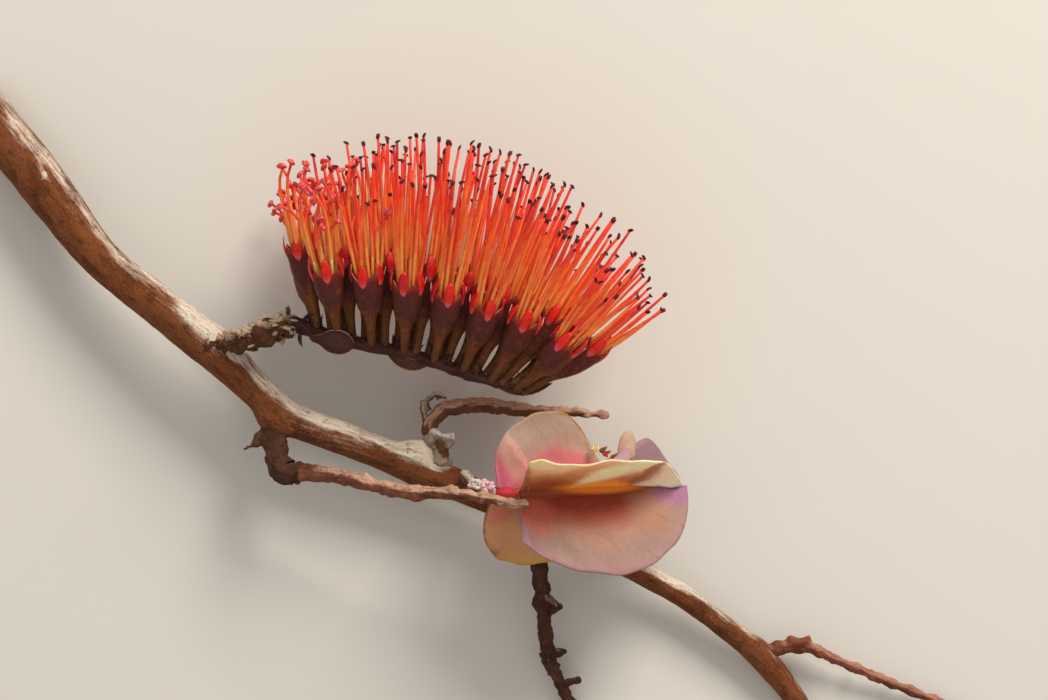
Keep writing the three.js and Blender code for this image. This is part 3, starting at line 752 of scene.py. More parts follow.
# Soft patches of colour on each wing: colour, strength, place along and up the wing, size, slant
WING_PATCHES = {
    "front": [
        # The front wing's colours are lighter than its paper: partly its own cream and orange, and partly
        # painted light that comes through it
        ("aa5228", 1.0, (0.2, 0.1), (0.32, 0.5), 0.0),
        ("ffe2ac", 0.85, (0.24, 1.0), (0.34, 0.46), 0.0),
        # A fold: a slanted painted highlight, a narrow band of painted shade, and the painted highlight of
        # the panel past it
        ("fff4c4", 1.0, (0.64, 0.66), (0.26, 0.46), 2.35),
        ("a4683c", 0.9, (0.8, 0.55), (0.05, 0.8), 0.0),
        ("fff6dc", 1.0, (0.95, 0.6), (0.16, 0.8), 0.0),
        ("ffb43c", 1.0, (0.6, 0.0), (0.38, 0.38), 0.0),
        ("b4683c", 1.0, (0.0, 0.6), (0.12, 1.2), 0.0),
    ],
    "upper": [
        ("c08070", 0.6, (0.16, 0.7), (0.1, 0.6), 0.0),
        ("c4466e", 0.8, (0.05, 0.72), (0.11, 0.62), 0.0),
        # A thin lighter stripe along a fold: painted highlight
        ("e0a894", 0.6, (0.24, 0.66), (0.03, 0.5), 0.0),
        ("cc6c78", 0.9, (0.48, 0.34), (0.3, 0.28), 0.0),
        ("a8782a", 0.95, (0.66, 1.0), (0.17, 0.1), 0.0),
    ],
    "rear": [
        # The greyish purple far part: partly the wing's colour, and partly painted shade beyond its rolled
        # near edge
        ("88666e", 0.95, (0.72, 0.85), (0.34, 0.8), 0.0),
    ],
    "under": [
        ("c0604c", 0.8, (0.08, 0.5), (0.14, 0.6), 0.0),
        ("cf9a40", 0.8, (0.5, 0.97), (0.24, 0.14), 0.0),
    ],
    "lower": [
        ("c8604e", 0.8, (0.16, 0.38), (0.2, 0.42), 0.0),
        ("a06c74", 0.6, (0.1, 0.9), (0.16, 0.4), 0.0),
        ("a87658", 0.7, (0.84, 0.5), (0.22, 0.5), 0.0),
        ("a0648c", 0.9, (0.95, 0.7), (0.1, 0.6), 0.0),
    ],
}


# What a user would change


def colour_of(name, description, code):
    """A colour that a user can change."""
    return FloatVectorProperty(
        name=name, description=description, default=linear(code), size=3, min=0.0, max=1.0, subtype="COLOR"
    )


def length_of(name, description, default):
    """A length in metres that a user can change."""
    return FloatProperty(
        name=name, description=description, default=default, min=0.00001, precision=5,
        subtype="DISTANCE", unit="LENGTH",
    )


class BranchWood(bpy.types.PropertyGroup):
    """Sizes and colours of the woody limbs"""

    mesh_size: length_of("Mesh Size", "Width of one face of the stem's bark", 0.00032)
    twig_mesh_size: length_of("Twig Mesh Size", "Width of one face of a twig's bark", 0.0002)
    bark: colour_of("Bark", "Bark of the stem", "7e4828")
    bark_warm: colour_of("Warm Bark", "Orange patches in the stem's bark", "884a22")
    bark_shade: colour_of("Bark Shade", "Specks and cracks of the stem's bark", "422212")
    skin: colour_of("Pale Skin", "Pale skin on the stem's sunny side", "e4d4c0")
    skin_shade: colour_of("Skin Shade", "Grey fibres in the pale skin", "a8907a")
    dark_bark: colour_of("Dark Bark", "Bark of the dark twigs", "44261a")
    pink_bark: colour_of("Pink Bark", "Bark of the young twigs", "84503a")


class BranchFlowers(bpy.types.PropertyGroup):
    """Sizes and colours of the flower head"""

    filaments: IntProperty(name="Filaments", description="Filaments in each floret", default=11, min=1)
    filament_radius: length_of("Filament Radius", "Radius of a filament near its foot", 0.00034)
    anther_length: length_of("Anther Length", "Length of an open anther", 0.00135)
    petal_length: length_of("Petal Length", "Length of a petal", 0.0052)
    petal_width: length_of("Petal Width", "Width of a petal", 0.002)
    cup: colour_of("Cup", "Purple-brown funnel of a cup", "602e26")
    cup_stalk: colour_of("Cup Stalk", "Olive-brown stalk of a cup", "74482a")
    cup_rim: colour_of("Cup Rim", "Red rim of a cup", "8e2a20")
    petal: colour_of("Petal", "Glossy red petals", "de2218")
    filament_foot: colour_of("Filament Foot", "Orange foot of a filament", "ffa052")
    filament_tip: colour_of("Filament Tip", "Deep red tip of a filament", "cc2830")
    anther: colour_of("Anther", "Open anthers", "561419")
    young_anther: colour_of("Young Anther", "Anthers that aren't open yet", "d63032")
    axis: colour_of("Flower Axis", "Stalk of the flower head", "452724")


class BranchFruit(bpy.types.PropertyGroup):
    """Sizes and colours of the winged fruit"""

    wing_thickness: length_of("Wing Thickness", "Thickness of a papery wing", 0.0003)
    ripple: length_of("Ripple", "Height of the ripples in a wing", 0.0004)
    blush: colour_of("Blush", "Pinkish grey of the wings", "98786a")
    rose: colour_of("Rose", "Rose at the foot of the upper wing", "bd5f66")
    cream: colour_of("Cream", "Cream edge of the front wing", "f0d8b0")
    tan: colour_of("Tan", "Tan of the under wing", "cc9060")
    # On the lower wing this dark red beside the axis is partly painted shadow of the front wing
    red: colour_of("Red", "Dark red beside the axis", "942c18")
    blush_edge: colour_of("Blush Edge", "Lilac pink towards the lower wing's border", "a27a74")


class BranchStage(bpy.types.PropertyGroup):
    """The floor, the light and the camera"""

    floor_size: length_of("Floor Size", "Width of the floor", 4.0)
    floor: colour_of("Floor", "Pale floor", "dcd7ce")
    camera_height: length_of("Camera Height", "Height of the camera over the floor", 0.544)
    focal_length: FloatProperty(
        name="Focal Length", description="Focal length in millimetres", default=100.0, min=1.0
    )
    key_power: FloatProperty(name="Key Power", description="Power of the key light", default=7.0, min=0.0)
    sky: FloatProperty(name="Sky", description="Strength of the light from all round", default=0.55, min=0.0)


# Woody limbs

# Stubs: how far along its twig each stands, where it points, its length and its radius
UPPER_SHOOT_STUBS = [(0.06, (-0.45, 0.85, 0.35), 6.0, 1.15), (0.52, (1, -0.2, 0.35), 3.6, 0.9)]
HANGING_TWIG_STUBS = [
    (0.33, (0.8, -0.5, 0.15), 2.3, 1.35),
    (0.36, (1, 0.05, 0.15), 3.2, 0.7),
    (0.62, (1, 0.15, 0.1), 2.9, 0.85),
    (0.71, (-0.75, 0.7, 0.25), 2.3, 0.8),
    (0.84, (1, 0.3, 0.35), 3.6, 0.75),
]


def skin_patches(side, width, paleness, *shares):
    """Knobs without height, which only make the skin paler, or duller where paleness is below 0."""
    return [(share, side, 0.0, width, paleness) for share in shares]


# Knobs of a limb, in the order in which they act: how far along it each lies, on which side, its height
# and width, and how much paler it makes the skin
KNOBS = {
    "stem": [
        # An old scar, and the duller skin before and after it
        (0.080, (0.5, 0.05, 1.0), 0.3, 0.5, 0.9),
        (0.082, (0.3, -0.1, 1.0), 0.35, 0.45, 0.9),
        (0.086, (0.1, -0.25, 1.0), 0.3, 0.4, 0.8),
        (0.090, (0.1, -0.2, 1.0), -0.6, 0.9, -1.0),
        (0.070, (0.1, -0.2, 1.0), -0.5, 1.0, -1.0),
        *skin_patches((0.78, 0.62, 0.2), 5.0, -0.35, 0.025, 0.055, 0.085, 0.115),
        *skin_patches((0.78, 0.62, 0.2), 5.0, -0.3, 0.145),
        (0.155, (-0.2, 0.3, 1.0), 0.2, 1.6, -0.3),
        *skin_patches((0.5, 0.78, 0.5), 5.0, -0.3, 0.175, 0.210),
        *skin_patches((0.5, 0.78, 0.5), 4.0, -0.25, 0.240),
        # Where the flower spur leaves the stem
        (0.255, (0.5, 0.78, 0.5), 0.5, 2.4, 0.8),
        (0.280, (0.6, 0.78, 0.6), 1.3, 2.8, 1.0),
        (0.300, (0.75, 0.7, 0.6), 1.5, 2.6, 0.6),
        (0.325, (0.75, 0.7, 0.5), 0.8, 2.0, -0.3),
        # Where the snag and the lower shoot leave it
        (0.388, (-0.5, -1.0, 0.4), 1.3, 2.2, 0.0),
        (0.405, (-0.2, -1.0, 0.5), 1.4, 2.2, 0.0),
        *skin_patches((0.5, 0.78, 0.5), 4.5, 0.3, 0.430, 0.470, 0.510),
        # Where the upper shoot leaves it
        (0.572, (0.3, 1.0, 0.4), 1.3, 1.8, 1.0),
        (0.586, (0.3, 1.0, 0.35), 2.8, 1.9, 1.4),
        # Past it the skin is dulled where the stem runs under the twig: painted shadow
        *skin_patches((0.5, 0.8, 0.6), 2.6, -1.4, 0.618),
        (0.612, (0.5, 0.8, 0.4), 0.3, 1.8, 0.2),
        (0.635, (0.5, 0.78, 0.5), 0.1, 3.6, -0.8),
        *skin_patches((0.5, 0.78, 0.5), 4.0, -0.8, 0.665),
        # Where the hanging twig and the fork twig leave it
        (0.675, (0.0, -1.0, 0.0), 0.5, 2.4, 0.0),
        *skin_patches((0.6, 0.78, 0.3), 5.0, -0.3, 0.800),
        *skin_patches((0.6, 0.78, 0.3), 5.0, -0.4, 0.850),
        (0.905, (0.4, 1.0, 0.3), 0.4, 2.4, -0.3),
        *skin_patches((0.8, 0.6, 0.3), 6.0, -0.5, 0.920, 0.970),
    ],
    "lower_shoot": [
        (0.1, (-1.0, -0.2, 0.3), 1.2, 1.5, 0.0),
        (0.25, (-1.0, 0.0, 0.3), 0.6, 1.2, 0.0),
        *skin_patches((0.0, 0.5, 0.8), 2.5, -0.7, 0.3, 0.6),
        *skin_patches((0.0, 0.5, 0.8), 3.0, -1.0, 0.9),
    ],
    "lower_twig": [
        (0.36, (0.2, 1.0, 0.4), 0.7, 0.8, 0.2),
        (0.56, (0.0, -1.0, 0.4), 0.6, 0.8, 0.0),
        (0.71, (0.2, 1.0, 0.4), 0.6, 0.7, 0.5),
        (0.84, (0.0, 1.0, 0.4), 0.5, 0.6, 0.5),
        (0.9, (0.0, -1.0, 0.4), 0.4, 0.6, 0.2),
        *skin_patches((0.0, 0.8, 0.6), 3.5, -1.0, 0.02),
        *skin_patches((0.0, 0.8, 0.6), 4.0, -0.4, 0.3),
        *skin_patches((0.0, 0.8, 0.6), 4.0, 0.1, 0.45),
        *skin_patches((0.0, 0.8, 0.6), 2.5, 0.6, 0.95),
    ],
    "upper_twig": [
        (0.78, (0.0, 1.0, 0.4), 0.7, 0.7, 2.0),
        (0.97, (0.3, 1.0, 0.3), 0.4, 0.9, 1.6),
        *skin_patches((0.0, 1.0, 0.6), 1.0, 1.2, 0.87),
    ],
    "fork_twig": [
        (0.08, (0.0, 0.7, 0.7), 0.5, 1.2, -1.0),
        (0.16, (0.2, 1.0, 0.3), 0.8, 0.8, -1.0),
        (0.22, (0.0, 0.7, 0.7), 0.3, 1.6, -1.0),
        (0.27, (0.4, 1.0, 0.3), 0.9, 0.6, -1.0),
        (0.6, (0.0, 1.0, 0.3), 0.3, 0.6, 0.3),
        (0.82, (0.0, 1.0, 0.3), 0.3, 0.6, 0.3),
    ],
}


def scattered_knobs(rng, count, height, width, paleness=0.3):
    """Small bumps at random places of a limb."""
    knobs = []
    for _ in range(count):
        toward = (rng.uniform(-1, 1), rng.uniform(-1, 1), rng.uniform(-1, 1))
        size = rng.uniform(0.4, 1) * height, rng.uniform(0.5, 1) * width
        knobs.append((rng.random(), toward, *size, rng.uniform(-0.6, 1) * paleness))
    return knobs


POINTED_SCALE = [0, 0.55, 0.6, 0.5, 0.3, 0]
BLUNT_SCALE = [0, 0.5, 0.75, 0.8, 0.6, 0]
SCALE_SIDES = 6
SCALE_CURL = 0.7  # how far a scale's tip curls over, as a share of its length
SCALE_DEPTH = 0.3  # how thick a scale is, as a share of its width


def scale_leaf(bm, foot, toward, curl, length, width, index=0, outline=POINTED_SCALE):
    """A dry little scale leaf that curls as it rises."""

    def line(share):
        return foot + toward * (length * share) + curl * (length * SCALE_CURL * share * share)

    widths = [width * half for half in outline]
    depths = [half * SCALE_DEPTH for half in widths]
    spindle(bm, SCALE_SIDES, line, curl, widths, depths, plain(index))


TWIG_SIDES = 14  # a twig has at least this many faces round it
STUB_SIDES = 12


def twig_piece(name, node, limb, bark, finish, rng, size, stubs=(), knobs=(), seed=1.0):
    """A twig with its stubs as one piece."""
    bm = bmesh.new()
    around = max(TWIG_SIDES, round(math.tau * max(limb.radii) / size))
    bark_limb(bm, limb, bark, around, size, knobs=knobs, seed=seed)
    for i, stub in enumerate(stubs):
        short = stub_limb(limb, stub)
        bumps = scattered_knobs(rng, 4, 0.25, 0.8)
        bark_limb(bm, short, bark, max(STUB_SIDES, around // 2), size, knobs=bumps, seed=seed + i + 5)
    return finished(name, bm, [finish], [node])


STEM_RADIUS = 3.6  # the radius by which the stem's faces are counted


class BRANCH_OT_stem(bpy.types.Operator):
    """Build the arching stem with its fibrous bark and pale sunny side"""

    bl_idname = "branch.stem"
    bl_label = "Stem"

    def execute(self, context):
        wood = context.scene.branch_wood
        size = wood.mesh_size / MM
        bm = bmesh.new()
        around = round(math.tau * STEM_RADIUS / size)
        bark_limb(bm, LIMBS["stem"], "stem", around, size, ("cut", "cut"), KNOBS["stem"], seed=3.0)
        tones = wood.bark, wood.bark_warm, wood.bark_shade, wood.skin, wood.skin_shade
        bark = bark_finish("stem_bark", *tones, speckle=0.8)
        finished("stem_bark", bm, [bark, cut_wood_finish()], ["stem"])
        return {"FINISHED"}


SPUR_SCALES = 90
SCALES_FROM, SCALES_OVER, SCALES_POWER = 0.3, 0.72, 0.7  # where on the spur they stand, most far out


class BRANCH_OT_flower_spur(bpy.types.Operator):
    """Build the flaking spur that carries the flower head, and the broken snag"""

    bl_idname = "branch.flower_spur"
    bl_label = "Flower Spur"

    def execute(self, context):
        size = context.scene.branch_wood.twig_mesh_size / MM
        rng = random.Random(11)
        spur = LIMBS["flower_spur"]
        rough = bark_finish("rough_bark", "56321e", "6a4022", "24140d", "ccb496", "7c624a")
        knobs = scattered_knobs(rng, 26, 0.6, 1.3)
        twig_piece("spur_bark", "flower_spur", spur, "spur", rough, rng, size, (), knobs, 7.0)

        bm = bmesh.new()
        route = Route(spur.points)
        for i in range(SPUR_SCALES):
            share = SCALES_FROM + SCALES_OVER * rng.random() ** SCALES_POWER
            toward = random_way(rng, (-0.5, 0.9), (-0.9, 1), (-0.4, 1))
            curl = random_way(rng, (-1, 1), (-1, 1), (-0.5, 1))
            foot = route.at(share) + toward * (profile_at(spur.radii, share) * 0.8)
            long = rng.uniform(0.7, 1.5) * (0.5 + 0.7 * share)
            index = 1 if i % 5 > 1 else 0
            scale_leaf(bm, foot, toward, curl, long, rng.uniform(0.6, 1.3), index, BLUNT_SCALE)
        scales = [
            soft_finish("dry_scale", "40281e", "86664c", 0.8, 0.6, 0.12, subsurface=0.0, scale=2.2),
            soft_finish("pale_scale", "c2ab8e", "6e5544", 0.85, 0.6, 0.12, subsurface=0.0, scale=2.2),
        ]
        finished("spur_scales", bm, scales, ["flower_spur"])

        grey = bark_finish("snag_bark", "5c3c28", "6e4830", "2e1c14", "8a6c56", "684c3a")
        twig_piece("snag_bark", "snag", LIMBS["snag"], "shoot", grey, rng, size, seed=9.0)
        return {"FINISHED"}


# Each side twig's bark, finish and record slot, then the number, height and width of its small bumps
SIDE_TWIGS = {
    "lower_shoot": ("shoot", "dark", "dark_twig", 26, 0.6, 0.9),
    "lower_twig": ("twig", "pink", "red_twig", 64, 0.5, 0.65),
    "upper_shoot": ("twig", "brown", "dark_twig", 20, 0.35, 0.8),
    "upper_twig": ("twig", "brown", "dark_twig", 40, 0.3, 0.7),
    "curled_shoot": ("twig", "pale", "rough_bark", 24, 0.5, 0.5),
    "hanging_twig": ("shoot", "dark", "dark_twig", 46, 0.5, 0.8),
    "fork_twig": ("twig", "rosy", "red_twig", 40, 0.3, 0.8),
}


class BRANCH_OT_side_twigs(bpy.types.Operator):
    """Build the dark and pinkish side twigs with their stubs, buds and flakes"""

    bl_idname = "branch.side_twigs"
    bl_label = "Side Twigs"

    def execute(self, context):
        wood = context.scene.branch_wood
        size = wood.twig_mesh_size / MM
        rng = random.Random(23)
        finishes = {
            "dark": bark_finish("dark_bark", wood.dark_bark, "64402e", "20130f", "a08a7a", "5c463a"),
            "pink": bark_finish("pink_bark", wood.pink_bark, "7c4432", "3a1f18", "cca48a", "90604a"),
            "rosy": bark_finish("rosy_bark", "88503a", "7a402c", "3a1f18", "b07c66", "885040"),
            "brown": bark_finish("brown_bark", "744832", "8a5638", "2c1910", "d0a48a", "946a54"),
            "knob": bark_finish("knob_bark", "9a8474", "b09a8a", "5a4840", "ece4de", "b4a8a4"),
            "pale": bark_finish("pale_bark", "7e5a44", "8e6448", "3c2820", "dccab0", "9a8068"),
        }
        for i, stub in enumerate(UPPER_SHOOT_STUBS):
            short = stub_limb(LIMBS["upper_shoot"], stub)
            twig_piece(f"upper_shoot_knob_{i + 1}", "upper_shoot", short, "spur", finishes["knob"],
                       rng, size, seed=81.0 + i)
        for i, (node, row) in enumerate(SIDE_TWIGS.items()):
            bark, finish, slot, count, height, width = row
            stubs = HANGING_TWIG_STUBS if node == "hanging_twig" else ()
            knobs = scattered_knobs(rng, count, height, width) + KNOBS.get(node, [])
            twig_piece(f"{node}_bark", node, LIMBS[node], bark, finishes[finish], rng, size,
                       stubs, knobs, seed=20.0 + 3 * i)
        return {"FINISHED"}


# The flower head


@dataclass
class Floret:
    """Where one floret stands and points, and how far its stamens reach."""

    share: float
    upward: Vector
    reach: float
    foot: Vector
    elbow: Vector
    rim: Vector
    youth: float
    twist: float

    def axis(self, share):
        """The point at a share of the curve from the foot to the rim."""
        return bent(self.foot, self.elbow, self.rim, share)

    def axis_ahead(self, share):
        return ((self.elbow - self.foot) * (1 - share) + (self.rim - self.elbow) * share).normalized()


def seeded(seed):
    """Numbers from 0 to 1, in the same fixed order as the source's."""
    state = seed
    while True:
        state = (state * 1664525 + 1013904223) % 4294967296
        yield state / 4294967296


def floret_places():
    """The florets, row by row, by the source's own rule."""
    draw = seeded(FLORET_SEED)
    route = Route(LIMBS["flower_axis"].points)
    places = []
    for tilt, count, offset in FLORET_ROWS:
        for i in range(count):
            share = (i + offset) / ROW_SPACES
            lean = LEAN_FIRST + LEAN_GAIN * share + LEAN_LATE * share**4 + (next(draw) * 2 - 1) * JITTER_ANGLE
            rise = tilt + (next(draw) * 2 - 1) * JITTER_ANGLE
            spread = 1 - (1 - share) ** ROW_CROWDING
            foot = route.at(mix(ROW_START, ROW_END, spread) + tilt * ROW_SHIFT)
            elbow = foot + pointing(lean + BASE_LEAN * share, rise * FOOT_TILT) * (FLORET_LENGTH / 2)
            upward = pointing(lean, rise * HEAD_TILT)
            rim = elbow + upward * (FLORET_LENGTH / 2)
            arch = STAMEN_GAIN * math.sin(math.pi * min(share, 1.0)) ** STAMEN_POWER
            youth = min(max((YOUTH_END - share) / YOUTH_FADE, 0.0), 1.0)
            reach = STAMEN_SHORT + STAMEN_SLOPE * share + arch
            twist = LOBE_TWIST * math.sin(TWIST_STEP * len(places))
            places.append(Floret(share, upward, reach, foot, elbow, rim, youth, twist))
    return places


def floret_nodes():
    return [f"floret_{i + 1:02d}" for i in range(sum(count for _, count, _ in FLORET_ROWS))]


def around_axis(upward, turn):
    """The unit vector square to a floret's own line, at a turn round it."""
    side, front = across(upward)
    angle = math.tau * turn
    return side * math.sin(angle) + front * math.cos(angle)


# A cup's outline from its foot up to the rim, then down inside: radius, height, and lobe share
CUP_RINGS = [
    (0.0, -0.2, 0), (0.55, -0.15, 0), (0.86, 0.4, 0), (0.80, 1.8, 0), (0.78, 3.4, 0), (0.84, 5.0, 0),
    (1.0, 6.3, 0), (1.34, 7.4, 0), (1.8, 8.5, 0), (2.2, 9.6, 0), (2.46, 10.7, 0), (2.62, 11.7, 0),
    (2.72, 12.6, 0), (2.80, 13.4, 0), (2.88, 14.0, 0.12), (2.96, 14.4, 0.5), (3.06, 14.6, 1.0),
    (2.92, 14.55, 0.95), (2.70, 14.2, 0.45), (2.50, 13.6, 0.1), (2.0, 12.7, 0), (1.1, 12.2, 0),
    (0.0, 12.1, 0),
]
# Which of the cups' finishes each stretch between two rings takes
CUP_BANDS = [0, 0, 0, 0, 1, 1, 2, 3, 3, 4, 4, 4, 5, 5, 6, 7, 8, 7, 9, 9, 9, 9]
CUP_SIDES = 30
SKIN_BANDS = 7  # the first finishes, which are the outer skin's, run into each other
BAND_SPREAD = 0.62
LOBE_RISE, LOBE_POWER, LOBE_SPLAY = 2.4, 1.3, 0.05
RIB_DEPTH, LUMP_DEPTH = 0.045, 0.06  # shares of the cup's radius
LUMP_TURNS, LUMP_SIZE = 1.2, 2.2


def add_cup(bm, floret, rng):
    """A cup: its stalk, its funnel with five faint ribs, and its five lobes with thin pale edges."""
    phase = rng.random() * 50

    def place(corner, turn, ring):
        radius, height, lobe = CUP_RINGS[ring]
        angle = math.tau * turn
        point = abs(2 * ((turn * LOBES + 0.5) % 1) - 1)
        height += lobe * LOBE_RISE * point**LOBE_POWER
        spot = Vector((math.cos(angle), math.sin(angle), 0.0)) * LUMP_TURNS
        spot.z = height / LUMP_SIZE + phase
        rib = -RIB_DEPTH * math.cos(angle * LOBES)
        radius *= 1 + rib + LUMP_DEPTH * noise.noise(spot) + LOBE_SPLAY * lobe * point
        share = min(max(height / FLORET_LENGTH, 0.0), 1.0)
        ahead = floret.axis_ahead(share)
        outward = around_axis(ahead, turn + floret.twist)
        centre = floret.axis(share) + ahead * (height - share * FLORET_LENGTH)
        return placed(centre + outward * radius)

    def paint(ring, turn):
        band = CUP_BANDS[ring]
        if band < SKIN_BANDS:
            band = min(max(round(band + rng.uniform(-BAND_SPREAD, BAND_SPREAD)), 0), SKIN_BANDS - 1)
        return band

    rolled(bm, CUP_SIDES, len(CUP_RINGS) - 1, place, paint)


# Hooked bracts on the flower axis: each one's foot, bend and tip, and its half width
HOOKS = [
    ((-39.6, 4.2, 23.2), (-39.2, 6.6, 23.6), (-37.2, 6.4, 23.8), 0.42),
    ((-39.9, 3.8, 23.4), (-40.4, 1.6, 24.0), (-39.5, 0.5, 24.2), 0.38),
]
HOOK_OUTLINE = [0, 0.7, 1.0, 1.0, 0.9, 0.7, 0.4, 0]
HOOK_DEPTH = 0.6
# Flat bracts on it: each one's foot and tip, how it sags, and its half width
FLAT_BRACTS = [
    ((-24.6, -0.6, 22.6), (-16.9, -2.6, 22.8), (0.0, -0.9, 0.3), 1.0),
    ((-6.4, -5.4, 22.4), (5.2, -5.9, 21.6), (0.0, -1.5, 0.2), 0.95),
]
FLAT_OUTLINE = [0, 0.5, 0.85, 1.05, 1.15, 1.15, 1.05, 0.85, 0.5, 0]
FLAT_DEPTH = 0.45
AXIS_TIP, AXIS_TIP_RADIUS = (0.0, -7.4, 22.2), 0.55  # a little short of the solid's
OVARY_WIDTHS = [0, 0.6, 0.75, 0.95, 1.35, 1.8, 2.1, 2.25, 2.3, 2.25, 2.1, 1.75, 1.15, 0]
OVARY_DEPTHS = [0, 0.5, 0.6, 0.7, 0.95, 1.2, 1.35, 1.4, 1.4, 1.35, 1.2, 0.95, 0.6, 0]
OVARY_LIFT = (0, 0.9, 0.2)


def narrow_bracts(rng):
    """Two pointed bracts at each floret's foot, and the hooked ones at the axis's thick end."""
    bm = bmesh.new()
    for floret in floret_places():
        for _ in range(2):
            toward = pointing(rng.uniform(-80, 80), rng.uniform(-50, 70)).normalized()
            curl = random_way(rng, (-1, 1), (-0.3, 1), (-0.6, 0.8))
            foot = floret.foot + toward * 0.5
            scale_leaf(bm, foot, toward, curl, rng.uniform(1.6, 3.0), rng.uniform(0.5, 0.95))
    for foot, bend, tip, wide in HOOKS:
        turns = Vector(foot), Vector(bend), Vector(tip)
        widths = [half * wide for half in HOOK_OUTLINE]
        depths = [half * HOOK_DEPTH for half in widths]
        spindle(bm, 8, lambda share: bent(*turns, share), UP, widths, depths)
    bract = soft_finish("bract", "2c1616", "5e3a2c", 0.6, 0.5, 0.1, gloss=0.2)
    finished("flower_bracts", bm, [bract], ["flower_axis"])


def flat_bracts():
    """The olive bracts with amber rims that lie along the axis."""
    bm = bmesh.new()
    for foot, tip, sag, wide in FLAT_BRACTS:
        widths = [half * wide for half in FLAT_OUTLINE]
        depths = [half * FLAT_DEPTH for half in widths]
        spindle(bm, 24, bowed(foot, tip, sag), UP, widths, depths, edged(0.07))
    olive = soft_finish("bract_olive", "40291a", "573a20", 0.6, 0.6, 0.1, subsurface=0.0, gloss=0.15)
    amber = soft_finish("bract_rim", "b8844c", "8a5a34", 0.5, 0.5, 0.05)
    finished("flat_bracts", bm, [olive, amber], ["flower_axis"])


def young_ovary():
    """The dark pouch with pale seams beside the axis's thick end."""
    bm = bmesh.new()
    line = bowed(OVARY_FROM, OVARY_TO, OVARY_LIFT, arch=0.5)
    spindle(bm, 28, line, UP, OVARY_WIDTHS, OVARY_DEPTHS, edged(0.075))
    skin = soft_finish(
        "pouch_skin", "482a26", "34201c", 0.6, 0.7, 0.14, subsurface=0.0, scale=2.4, gloss=0.12
    )
    seam = soft_finish("pouch_seam", "c49a80", "9a6c58", 0.5, 0.5, 0.05)
    finished("young_ovary_skin", bm, [skin, seam], ["young_ovary"])


class BRANCH_OT_flower_axis(bpy.types.Operator):
    """Build the stalk of the flower head with its bracts, and the young ovary"""

    bl_idname = "branch.flower_axis"
    bl_label = "Flower Axis"

    def execute(self, context):
        size = context.scene.branch_wood.twig_mesh_size / MM
        rng = random.Random(31)
        axis = LIMBS["flower_axis"]
        limb = Limb([*axis.points[:-1], AXIS_TIP], [*axis.radii[:-1], AXIS_TIP_RADIUS])
        tones = context.scene.branch_flowers.axis, "5e352b", "241314", "7d5a4c", "4a2f2b"
        skin = bark_finish("axis_skin", *tones, skin_from=1.3)
        knobs = scattered_knobs(rng, 30, 0.3, 0.9)
        twig_piece("flower_axis_skin", "flower_axis", limb, "thin_twig", skin, rng, size,
                   knobs=knobs, seed=41.0)
        narrow_bracts(rng)
        flat_bracts()
        young_ovary()
        return {"FINISHED"}


def cup_finish(name, colour, speckle):
    """The cups' skin, with hardly any shine."""
    return soft_finish(name, colour, speckle, 0.5, 0.6, 0.1, gloss=0.15)


class BRANCH_OT_cups(bpy.types.Operator):
    """Build the florets' cups, each with its stalk and five pale-edged lobes"""

    bl_idname = "branch.cups"
    bl_label = "Cups"

    def execute(self, context):
        flowers = context.scene.branch_flowers
        bm = bmesh.new()
        rng = random.Random(51)
        for floret in floret_places():
            add_cup(bm, floret, rng)
        finishes = [
            cup_finish("cup_stalk", flowers.cup_stalk, "3f2b22"),
            cup_finish("cup_olive", "7e4a26", "4c301c"),
            cup_finish("cup_amber", "864820", "54301a"),
            cup_finish("cup_brown", "723a24", "44261a"),
            cup_finish("cup_funnel", flowers.cup, "3a1e1c"),
            cup_finish("cup_plum", "642a22", "421e1a"),
            cup_finish("cup_maroon", "6e2a20", "4c1e1a"),
            cup_finish("cup_rim", flowers.cup_rim, "6a2826"),
            cup_finish("cup_edge", "f0c0ae", "c8705e"),
            cup_finish("cup_inside", "7a1f14", "b8431c"),
        ]
        finished("cups", bm, finishes, floret_nodes())
        return {"FINISHED"}


def petal_finish(name, colour, speckle, mottle=0.6, gloss=0.3):
    """A petal's skin, which lets some light through."""
    return soft_finish(name, colour, speckle, 0.36, mottle, 0.05, subsurface=0.25, scale=2.2, gloss=gloss)


PETAL_OUTLINE = [0, 0.5, 0.78, 0.95, 1.0, 0.95, 0.8, 0.5, 0]
PETAL_DEPTHS = [0, 0.12, 0.16, 0.18, 0.18, 0.16, 0.12, 0.08, 0]
PETAL_RING, PETAL_ROOT = 2.7, 1.3  # how far out and how far under the rim a petal starts
PETAL_BOW, PETAL_NOD = 0.35, 0.5  # how far it bows out, and how far its tip leans in
PETAL_SPLAYS = (-4, 10)  # the least and the most degrees that it leans out
PETAL_LENGTHS = (0.8, 1.08)  # the least and the most of the petals' length


